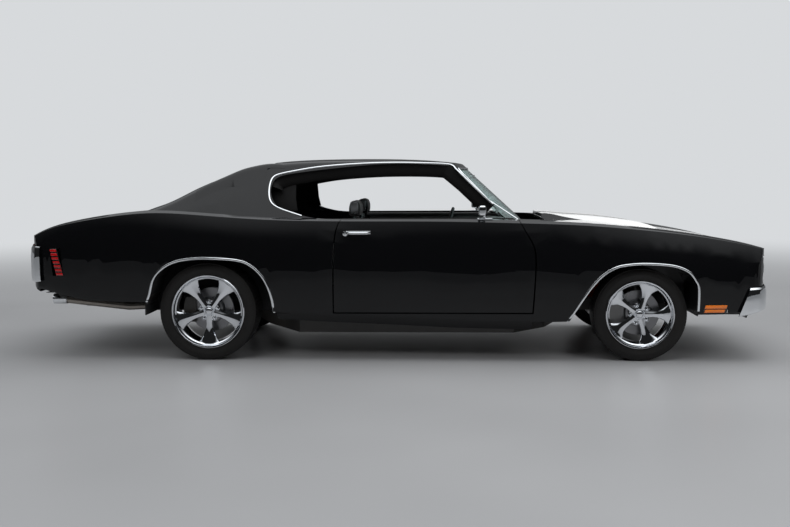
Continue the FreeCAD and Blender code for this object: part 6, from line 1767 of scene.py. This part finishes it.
@dataclass
class Lining(Trade):
    """Trim inside the roof rails and pillars, sun visors, and the flaps inside the front wheel houses."""

    rail_points: tuple[Point, ...] = (
        (0.690, 0.998), (0.600, 1.083), (0.500, 1.178), (0.425, 1.248), (0.396, 1.274), (0.350, 1.290),
        (0.240, 1.299), (0.060, 1.303), (-0.140, 1.301), (-0.340, 1.291), (-0.520, 1.275), (-0.680, 1.249),
        (-0.760, 1.232), (-0.815, 1.205), (-0.836, 1.165),
    )
    rail_profile: tuple[Point, ...] = (
        (-0.014, 0.004), (-0.011, -0.050), (-0.015, -0.078), (-0.024, -0.090), (-0.036, -0.086),
        (-0.042, -0.066), (-0.044, 0.004),
    )
    quarter_outline: tuple[Point, ...] = (
        (-0.870, 1.215), (-0.700, 1.246), (-0.668, 1.180), (-0.664, 1.060), (-0.650, 0.985), (-0.760, 0.985),
        (-0.870, 1.030),
    )

    def rails(self) -> None:
        """Makes the padded trim down the pillar and along the roof, and the panel inside the quarter."""
        stations = Skin(("body_shell",)).line(smooth_path(self.rail_points, 3), 0.0, 8)
        flat = [(place, Vector((0, -1, 0))) for place, _ in stations]
        self.fit_pair("roof_rail_trim", Sweep(self.rail_profile, flat).build(), self.palette.lining, 50.0)
        corners = [(x, -0.585 - 0.42 * (1.246 - z), z) for x, z in self.quarter_outline]
        bm = eased(thickened(corners, 0.012), 0.004, 2)
        self.fit_pair("quarter_trim", bm, self.palette.lining, 40.0)

    def visors(self) -> None:
        """Makes the two sun visors with their rods and bright feet."""
        pad = block((0.318, -0.335, 1.2640), (0.150, 0.400, 0.015), 0.0070, 3)
        self.fit_pair("sun_visors", pad, self.palette.vinyl, 40.0)
        arm = rod((0.392, -0.560, 1.262), (0.392, -0.140, 1.266), 0.0045, 12, 0.001)
        foot = stood(
            spun([(0.0, 0.010), (0.014, 0.009), (0.019, 0.004), (0.020, -0.002)], 24), (0.386, -0.563, 1.262),
            (0.2, 1, 0)
        )
        self.fit_pair("visor_rods", joined([arm, foot]), self.palette.chrome, 40.0)

    def flaps(self) -> None:
        """Makes the rubber flaps that close the wheel houses above the frame rails."""
        flap = block((1.990, -0.4755, 0.4140), (0.660, 0.0035, 0.156), 0.0015, 1)
        self.fit_pair("splash_flaps", flap, self.palette.seal, 40.0)

    def build(self) -> None:
        """Makes all of the lining."""
        for work in (self.rails, self.visors, self.flaps):
            work()


def skinned(sections: Sequence[Sequence[Vector]]) -> BMesh:
    """Skins a row of closed sections with as many corners each, caps both ends and returns the mesh."""
    bm = bmesh.new()
    rings = [[bm.verts.new(place) for place in section] for section in sections]
    for before, after in zip(rings, rings[1:]):
        for a, b, c, d in zip(before, before[1:] + before[:1], after[1:] + after[:1], after):
            bm.faces.new((a, b, c, d))
    for ring in (rings[0], rings[-1]):
        bm.faces.new(ring)
    return tidy(bm)


@dataclass
class TrunkWells(Trade):
    """Sheet that carries the trunk's floor and the wheel tubs out to the quarter panels."""

    tub_y: float = -0.870
    tub_from: float = 0.0105
    tub_to: float = 0.0155
    gap: float = 0.003
    floor_start_y: float = -0.925
    floor_edge: float = 0.590
    floor_z: float = 0.4510
    floor_from: float = -1.660
    floor_to: float = -2.320

    def wall(self, skin: Skin, x: float, z: float, start: float) -> Optional[float]:
        """Returns y of the right quarter panel's inner face at x and z, or None."""
        found = skin.hit(Vector((x, start, z)), Vector((0, -1, 0)))
        return None if found is None else found[0].y

    def tub_edge(self, skin: Skin) -> BMesh:
        """Returns the strip that carries the wheel tub out to the panel."""
        near, far = (
            smooth_path([(REAR_AXLE_X + u * reach, v * reach) for u, v in REAR_ARCH_SHARES], 4)
            for reach in (REAR_ARCH_REACH + self.tub_from, REAR_ARCH_REACH + self.tub_to)
        )
        sections = []
        for (near_x, near_z), (far_x, far_z) in zip(near, far):
            y = self.wall(skin, far_x, far_z, self.tub_y + 0.030)
            if y is not None:
                out = y + self.gap
                corners = (
                    (near_x, self.tub_y, near_z), (far_x, self.tub_y, far_z), (far_x, out, far_z),
                    (near_x, out, near_z)
                )
                sections.append([Vector(corner) for corner in corners])
        return skinned(sections)

    def floor_well(self, skin: Skin) -> BMesh:
        """Returns the sheet that carries the trunk's floor out to the panel."""
        wells, wide = [], self.floor_start_y
        low, high = self.floor_z - 0.001, self.floor_z + 0.001
        for step in range(13):
            x = self.floor_from + (self.floor_to - self.floor_from) * step / 12
            found = self.wall(skin, x, self.floor_z + 0.010, -0.62)
            wide = wide + 0.004 if found is None else found
            edge, out = -self.floor_edge, wide + self.gap
            wells.append([Vector((x, y, z)) for y, z in ((edge, low), (edge, high), (out, high), (out, low))])
        return skinned(wells)

    def build(self) -> None:
        """Makes the tub edges and the floor wells on both sides."""
        skin = Skin(("body_shell",))
        edge, floor = self.tub_edge(skin), self.floor_well(skin)
        both = joined([copied(edge, MIRROR_Y), copied(floor, MIRROR_Y), edge, floor])
        self.fit("trunk_wells", both, self.palette.floor)


@dataclass
class SailFairing(Trade):
    """Painted crest that carries the roof's edge down into each sail panel in one smooth line."""

    crest: tuple[Point, ...] = (
        (-0.740, 1.2985), (-0.790, 1.3035), (-0.820, 1.3045), (-0.850, 1.3035), (-0.880, 1.3005),
        (-0.910, 1.2960), (-0.940, 1.2900), (-0.970, 1.2835), (-1.000, 1.2760), (-1.030, 1.2670),
        (-1.070, 1.2510), (-1.110, 1.2330), (-1.160, 1.2105), (-1.215, 1.1860), (-1.270, 1.1600),
        (-1.330, 1.1260),
    )
    slope: float = 0.63
    window_end: float = -0.862
    widths: tuple[Point, ...] = (
        (-0.740, 0.085), (-0.850, 0.070), (-0.900, 0.050), (-0.950, 0.042), (-1.000, 0.034), (-1.060, 0.029),
        (-1.400, 0.029),
    )

    def outer(self, z: float) -> float:
        """Returns y of the panel's outer face at a height."""
        return -(0.6757 - self.slope * (z - 1.2))

    def width(self, x: float) -> float:
        """Returns the crest's width at x."""
        for (before, wide), (after, narrow) in zip(self.widths, self.widths[1:]):
            if x >= after:
                return wide + (narrow - wide) * (x - before) / (after - before)
        return self.widths[-1][1]

    def section(self, x: float, top: float) -> list[Vector]:
        """Returns the crest's section at x.

        Args:
            x: distance along the car.
            top: its height there.
        Returns:
            Its corners in order.
        """
        edge, inner = self.outer(top), self.outer(top) + self.width(x)
        foot = top - 0.030 if x > self.window_end else min(1.150, top - 0.030)
        sunk = min(1.226 + 0.56 * (x + 0.95), top - 0.012) - 0.004
        low = min(foot, sunk - 0.006)
        rows = (
            (self.outer(foot), foot), (self.outer(top - 0.030), top - 0.030),
            (self.outer(top - 0.009), top - 0.009),
            (edge + 0.0022, top - 0.0035), (edge + 0.0065, top - 0.0006), (edge + 0.0115, top),
            (edge + 0.0160, top - 0.0012),
            (edge + 0.0195, top - 0.0045), (inner, sunk), (inner + 0.001, low), (self.outer(low) + 0.004, low),
        )
        return [Vector((x, y, z)) for y, z in rows]

    def build(self) -> None:
        """Makes the crest on both sides."""
        bm = skinned([self.section(x, z) for x, z in smooth_path(self.crest, 3)])
        self.fit_pair("sail_crests", bm, self.palette.paint, 36.0)


@dataclass
class EngineDressing(Trade):
    """What shows on and round the engine when the hood is open."""

    cleaner: Place = (1.470, 0.0, 0.802)
    cover_y: float = 0.186
    cover_from: float = 1.150
    cover_to: float = 1.730
    core_x: float = 1.955

    def hose(self, points: Sequence[Sequence[float]], radius: float, steps: int = 5) -> BMesh:
        """Makes a round hose through a few points.

        Args:
            points: (x, y, z) places that it passes.
            radius: its radius.
            steps: steps between two points.
        Returns:
            The mesh.
        """
        flat = smooth_path([(x, y) for x, y, _ in points], steps)
        level = smooth_path([(x, z) for x, _, z in points], steps)
        stations = [(Vector((x, y, z)), Vector((0, 0.3, 1))) for (x, y), (_, z) in zip(flat, level)]
        return Sweep(oval_section(radius, radius, 10), stations).build()

    def air_cleaner(self) -> None:
        """Makes the round air cleaner: dark element, bright lid and wing nut."""
        x, y, z = self.cleaner
        element = [
            (0.0, 0.016), (0.166, 0.016), (0.168, 0.013), (0.168, -0.030), (0.160, -0.034), (0.0, -0.034)
        ]
        lid = [
            (0.0, 0.033), (0.036, 0.033), (0.040, 0.029), (0.150, 0.026), (0.168, 0.023), (0.178, 0.017),
            (0.181, 0.009), (0.179, 0.006), (0.172, 0.013), (0.0, 0.014),
        ]
        nut = block((x, y, z + 0.041), (0.034, 0.006, 0.012), 0.0028, 2)
        self.fit("air_filter", stood(spun(element, 64), (x, y, z)), self.palette.plastic)
        self.fit("air_cleaner_lid", joined([stood(spun(lid, 72), (x, y, z)), nut]), self.palette.chrome)

    def covers(self) -> None:
        """Makes the two ribbed valve covers with their caps and bolts, and the intake runners between them."""
        middle, length = (self.cover_from + self.cover_to) / 2, self.cover_to - self.cover_from
        bright, cast = [], []
        for way in (-1, 1):
            y = way * self.cover_y
            bright.append(block((middle, y, 0.7405), (length, 0.128, 0.007), 0.0025, 2))
            bright.append(block((middle, y, 0.7620), (length - 0.022, 0.104, 0.046), 0.012, 4))
            bright += [
                block((middle, y + 0.020 * k, 0.7855), (length - 0.090, 0.006, 0.006), 0.002, 2)
                for k in (-1.5, -0.5, 0.5, 1.5)
            ]
            cap = [(0.0, 0.020), (0.017, 0.019), (0.021, 0.014), (0.021, 0.002), (0.024, -0.004)]
            bright.append(stood(spun(cap, 28), (self.cover_from + 0.060, y, 0.7850)))
            for k in range(5):
                for side in (-0.058, 0.058):
                    head = spun([(0.0, 0.007), (0.0055, 0.0065), (0.0065, 0.0), (0.008, -0.001)], 6)
                    bright.append(
                        stood(head, (self.cover_from + 0.030 + k * (length - 0.060) / 4, y + side, 0.7445))
                    )
            for k in range(4):
                x = self.cover_from + 0.080 + k * 0.140
                cast.append(rod((x, way * 0.030, 0.764), (x, way * 0.128, 0.744), 0.0205, 16, 0.004))
        cast.append(block((middle, 0, 0.756), (length - 0.060, 0.110, 0.034), 0.010, 3))
        self.fit("valve_covers", joined(bright), self.palette.chrome)
        self.fit("intake_runners", joined(cast), self.palette.cast)

    def ignition(self) -> None:
        """Makes the distributor and its eight leads."""
        x, z = 1.165, 0.742
        cap = [
            (0.0, 0.062), (0.010, 0.061), (0.030, 0.054), (0.038, 0.044), (0.040, 0.020), (0.034, 0.010),
            (0.028, -0.004)
        ]
        meshes = [stood(spun(cap, 32), (x, 0, z))]
        for k in range(8):
            way, row = (-1 if k % 2 else 1), k // 2
            turn = math.pi * (0.15 + 0.7 * row / 3)
            start = (x + 0.026 * math.cos(turn), way * 0.026 * math.sin(turn), z + 0.052)
            end = (1.215 + 0.145 * row, way * 0.262, 0.728)
            middle = (1.200 + 0.080 * row, way * (0.085 + 0.014 * row), 0.812 - 0.004 * row)
            meshes.append(
                self.hose((start, middle, (end[0], way * 0.240, 0.772 - 0.004 * row), end), 0.0040, 4)
            )
        self.fit("ignition_leads", joined(meshes), self.palette.seal, 50.0)

    def radiator(self) -> None:
        """Makes the radiator with its tank, cap, shroud, fan and hose."""
        x = self.core_x
        p = self.palette
        self.fit("radiator_core", block((x, 0, 0.545), (0.040, 0.600, 0.290), 0.004, 1), p.core)
        cap = [(0.0, 0.016), (0.022, 0.015), (0.027, 0.010), (0.027, 0.004), (0.018, 0.0), (0.018, -0.008)]
        tank = [
            block(
                (x, 0, 0.708), (0.056, 0.640, 0.040), 0.010, 3
            ), block((x, 0, 0.385), (0.056, 0.640, 0.034), 0.010, 3),
            block(
                (x - 0.004, -0.311, 0.545), (0.050, 0.020, 0.320), 0.005, 2
            ), block((x - 0.004, 0.311, 0.545), (0.050, 0.020, 0.320), 0.005, 2),
        ]
        ring = [(0.226, -0.022), (0.226, 0.020), (0.221, 0.020), (0.221, -0.022)]
        tank.append(stood(spun(ring, 64, closed=True), (x - 0.044, 0, 0.530), (-1, 0, 0)))
        self.fit("radiator_tanks", joined(tank), p.satin)
        self.fit("radiator_cap", stood(spun(cap, 32), (x, 0.190, 0.730)), p.chrome)
        blades = []
        for k in range(6):
            blade = block((0, 0, 0.128), (0.062, 0.0025, 0.160), 0.001, 1)
            placed(blade, Matrix.Rotation(math.radians(26), 4, "Z"))
            blades.append(placed(blade, Matrix.Rotation(math.pi * k / 3, 4, "Y")))
        hub = [
            (0.0, 0.022), (0.030, 0.020), (0.052, 0.010), (0.056, 0.0), (0.056, -0.034), (0.050, -0.040),
            (0.050, -0.052), (0.0, -0.052),
        ]
        blades.append(spun(hub, 40))
        self.fit("cooling_fan", stood(joined(blades), (1.884, 0, 0.530), (1, 0, 0)), p.steel)
        route = (
            (1.760, -0.050, 0.752), (1.820, -0.085, 0.772), (1.880, -0.140, 0.758), (1.930, -0.190, 0.722),
            (1.950, -0.215, 0.690),
        )
        upper = self.hose(route, 0.0200)
        self.fit("radiator_hose", upper, p.seal, 50.0)

    def services(self) -> None:
        """Makes the battery with its cables, and the brake booster with its cylinder."""
        p = self.palette
        x, y, z = 1.900, -0.600, 0.738
        case = [
            block((x, y, z + 0.028), (0.240, 0.168, 0.056), 0.006, 2),
            block((x, y, z + 0.058), (0.228, 0.156, 0.005), 0.002, 1)
        ]
        case += [
            stood(spun([(0.0, 0.007), (0.009, 0.006), (0.010, 0.0)], 20), (x - 0.080 + 0.032 * k, y, z + 0.060))
            for k in range(6)
        ]
        self.fit("battery", joined(case), p.battery)
        leads = (
            (
                (x - 0.104, y - 0.050, z + 0.066), (x - 0.130, y - 0.020, z + 0.064),
                (x - 0.160, -0.500, z + 0.030),
                (1.640, -0.330, 0.730), (1.600, -0.285, 0.700),
            ), (
                (x - 0.090, y + 0.052, z + 0.066), (x - 0.130, y + 0.085, z + 0.050),
                (x - 0.200, -0.470, z + 0.012),
                (1.560, -0.310, 0.725), (1.520, -0.280, 0.700),
            ),
        )
        cables = [self.hose(points, 0.0060) for points in leads]
        cables += [
            stood(
                spun([(0.0, 0.010), (0.008, 0.009), (0.009, -0.004)], 18),
                (x - 0.097, y + way * 0.051, z + 0.062)
            )
            for way in (-1, 1)
        ]
        self.fit("battery_cables", joined(cables), p.seal, 50.0)
        drum = [
            (0.0, 0.004), (0.040, 0.006), (0.062, 0.020), (0.084, 0.026), (0.088, 0.031), (0.088, 0.038),
            (0.080, 0.045), (0.064, 0.062), (0.030, 0.072), (0.0, 0.072),
        ]
        booster = [stood(spun(drum, 56), (1.014, 0.380, 0.778), (1, 0, 0))]
        booster += [
            block((1.150, 0.380, 0.786), (0.130, 0.062, 0.054), 0.010, 3),
            block((1.150, 0.380, 0.8165), (0.124, 0.070, 0.009), 0.003, 2)
        ]
        booster.append(rod((1.080, 0.380, 0.778), (1.240, 0.380, 0.778), 0.021, 24, 0.004))
        self.fit("brake_booster", joined(booster), p.brushed, slot="bare_steel")

    def build(self) -> None:
        """Dresses the whole engine bay."""
        for work in (self.air_cleaner, self.covers, self.ignition, self.radiator, self.services):
            work()



@dataclass
class Dressing:
    """Finishes and edge treatment of the frame's own nodes."""

    palette: Palette

    def finishes(self) -> dict[str, Material]:
        """Returns the finish of each node."""
        p = self.palette
        table = {
            "body_shell": p.paint, "front_fenders": p.paint, "nose_panel": p.hood_paint, "hood": p.hood_paint,
            "deck_lid": p.deck_paint, "door_right": p.paint, "door_left": p.paint, "grille": p.satin,
            "front_bumper": p.chrome, "rear_bumper": p.chrome, "tail_lamps": p.red, "front_markers": p.amber,
            "rear_markers": p.red, "windscreen": p.screen, "backlight": p.screen, "floor_tub": p.floor,
            "chassis_frame": p.frame_paint, "engine_bay": p.satin, "engine_block": p.engine_paint,
            "exhaust_system": p.pipe, "fuel_tank": p.steel, "front_suspension": p.frame_paint,
            "rear_axle": p.frame_paint, "dashboard": p.vinyl, "steering_wheel": p.plastic, "console": p.plastic,
            "seat_right": p.vinyl, "seat_left": p.vinyl, "rear_seat": p.vinyl, "wipers": p.satin,
            "knuckle_right": p.cast, "knuckle_left": p.cast, "headlamps": p.lens,
            "door_trim_right": p.chrome, "door_trim_left": p.chrome,
        }
        for end in ("front", "rear"):
            for side in Side:
                table[f"wheel_{end}_{side.word}"] = p.wheel_chrome
                table[f"tyre_{end}_{side.word}"] = p.rubber
        return table

    def soften(self, item: Object, degrees: float) -> None:
        """Welds a node's loose triangles and shades it smooth up to an angle."""
        weld = item.modifiers.new("weld", "WELD")
        weld.merge_threshold = 0.00005
        split = item.modifiers.new("crisp_edges", "EDGE_SPLIT")
        split.split_angle = math.radians(degrees)
        split.use_edge_sharp = False
        even = item.modifiers.new("even_shading", "WEIGHTED_NORMAL")
        even.weight = 50
        even.keep_sharp = True
        item.data.polygons.foreach_set("use_smooth", [True] * len(item.data.polygons))

    def dress(self) -> None:
        """Gives every node its finish."""
        for name, material in self.finishes().items():
            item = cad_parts[name]
            item.data.materials.clear()
            item.data.materials.append(material)
            self.soften(item, 28.0)
            log.info("%s: %s", name, material.name)


@dataclass
class Studio:
    """Floor, backdrop, lights and the camera at the photograph's angle."""

    eye: Place = (0.3371, -7.845, 1.2000)
    yaw: float = 2.658
    pitch: float = 4.560
    roll: float = -0.0042
    lens: float = 48.59
    backdrop: Colour = (0.92, 0.945, 0.97)
    backdrop_level: float = 0.74
    low_level: float = 0.014
    high_level: float = 1.75
    far_level: float = 0.13
    floor_colours: tuple[Colour, Colour] = ((0.272, 0.273, 0.278), (0.317, 0.318, 0.323))
    fade_from: float = 3.6
    fade_to: float = 15.0

    def camera(self) -> None:
        """Places the camera."""
        data = bpy.data.cameras.new("camera")
        data.lens = self.lens
        data.sensor_width = 36.0
        data.clip_end = 200.0
        view = bpy.data.objects.new("camera", data)
        bpy.context.scene.collection.objects.link(view)
        yaw, pitch = math.radians(self.yaw), math.radians(self.pitch)
        ahead = Vector((-math.sin(yaw), math.cos(yaw), 0))
        right = Vector((math.cos(yaw), math.sin(yaw), 0))
        up = Vector((0, 0, 1))
        look = ahead * math.cos(pitch) - up * math.sin(pitch)
        over = up * math.cos(pitch) + ahead * math.sin(pitch)
        across = right * math.cos(self.roll) + over * math.sin(self.roll)
        upward = over * math.cos(self.roll) - right * math.sin(self.roll)
        turn = Matrix((
            (across.x, upward.x, -look.x), (across.y, upward.y, -look.y), (across.z, upward.z, -look.z),
        ))
        view.matrix_world = Matrix.Translation(self.eye) @ turn.to_4x4()
        bpy.context.scene.camera = view

    def ground(self) -> None:
        """Makes the floor, which fades into the backdrop far from the car."""
        bm = bmesh.new()
        bmesh.ops.create_circle(bm, cap_ends=True, segments=96, radius=60.0)
        mesh = bpy.data.meshes.new("studio_floor")
        bm.to_mesh(mesh)
        bm.free()
        shader = shader_named("studio_floor")
        cloud = shader.noise(0.6)
        shader.set(
            Base_Color=shader.mix(cloud, *self.floor_colours), Roughness=shader.spread(cloud, 0.26, 0.34)
        )
        reach = shader.add("ShaderNodeVectorMath", operation="LENGTH")
        shader.link(shader.coordinates.outputs["Object"], reach.inputs[0])
        fade = shader.mapped(reach.outputs["Value"], (self.fade_from, self.fade_to))
        glow = shader.add("ShaderNodeEmission")
        glow.inputs["Color"].default_value = (*self.backdrop, 1.0)
        glow.inputs["Strength"].default_value = self.backdrop_level
        blend = shader.add("ShaderNodeMixShader")
        shader.link(shader.math("MULTIPLY", fade, shader.seen_directly()), blend.inputs["Fac"])
        shader.link(shader.main.outputs["BSDF"], blend.inputs[1])
        shader.link(glow.outputs["Emission"], blend.inputs[2])
        shader.link(blend.outputs["Shader"], shader.tree.nodes["Material Output"].inputs["Surface"])
        mesh.materials.append(shader.owner)
        floor = bpy.data.objects.new("studio_floor", mesh)
        bpy.context.scene.collection.objects.link(floor)

    def surroundings(self) -> None:
        """Makes a world that is pale to the camera and to glass, and brighter above and beyond for the rest."""
        world = bpy.data.worlds.new("studio")
        bpy.context.scene.world = world
        sky = Nodes(world, "Background")
        way = sky.coordinates.outputs["Generated"]
        above = sky.mapped(sky.part(way, "Z"), (0.38, 0.90), (self.low_level, self.high_level))
        beyond = sky.mapped(sky.part(way, "Y"), (0.15, 0.80), (0.0, self.far_level))
        strength = sky.add("ShaderNodeMix")
        sky.link(sky.seen_directly(), strength.inputs[0])
        sky.link(sky.math("MAXIMUM", above, beyond), strength.inputs[2])
        strength.inputs[3].default_value = self.backdrop_level
        sky.set(Strength=strength.outputs[0], Color=(*self.backdrop, 1.0))

    def lamp(self, name: str, place: Place, target: Place, size: Point, power: float) -> None:
        """Adds one soft rectangular lamp, which neither shiny surfaces nor glass show.

        Args:
            name: its name.
            place: where it hangs.
            target: what it points at.
            size: its width and height.
            power: its power in watts.
        """
        data = bpy.data.lights.new(name, "AREA")
        data.shape = "RECTANGLE"
        data.size, data.size_y = size
        data.energy = power
        item = bpy.data.objects.new(name, data)
        bpy.context.scene.collection.objects.link(item)
        item.visible_glossy = False
        item.visible_transmission = False
        way = Vector(target) - Vector(place)
        item.matrix_world = Matrix.Translation(place) @ way.to_track_quat("-Z", "Y").to_matrix().to_4x4()

    def build(self) -> None:
        """Makes the whole studio."""
        self.camera()
        self.ground()
        self.surroundings()
        self.lamp("overhead", (1.4, 0.4, 5.2), (0.9, 0, 0.6), (7.5, 3.4), 175.0)
        self.lamp("long_strip", (-0.2, -2.6, 5.4), (-0.2, 0, 0.6), (7.0, 0.5), 37.0)
        self.lamp("near_side", (-2.6, -6.4, 4.6), (-0.6, 0, 0.6), (4.2, 1.6), 92.0)
        self.lamp("near_nose", (4.6, -5.6, 3.4), (1.6, -0.4, 0.6), (2.6, 1.6), 92.0)
        self.lamp("far_side", (0.4, 6.6, 2.6), (0, 0, 0.3), (7.0, 1.8), 118.0)
        bpy.context.scene.view_settings.view_transform = "Standard"


def main() -> None:
    """Builds and dresses the car, then sets the studio round it."""
    logging.basicConfig(level=logging.INFO, format="%(name)s: %(message)s")
    palette = Palette()
    workshop = Workshop()
    Dressing(palette).dress()
    for side in Side:
        for wheel in (FRONT_WHEEL, REAR_WHEEL):
            RoadWheel(palette, workshop, **wheel).build(side)
    trades = (
        Mouldings, DoorHardware, CarEnds, Upholstery, Cockpit, SailFairing, TrunkWells, Lining, EngineDressing,
    )
    for trade in trades:
        trade(palette, workshop).build()
    Studio().build()
    log.info("%d pieces", workshop.count)
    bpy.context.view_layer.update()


if __name__ == "__main__":
    main()
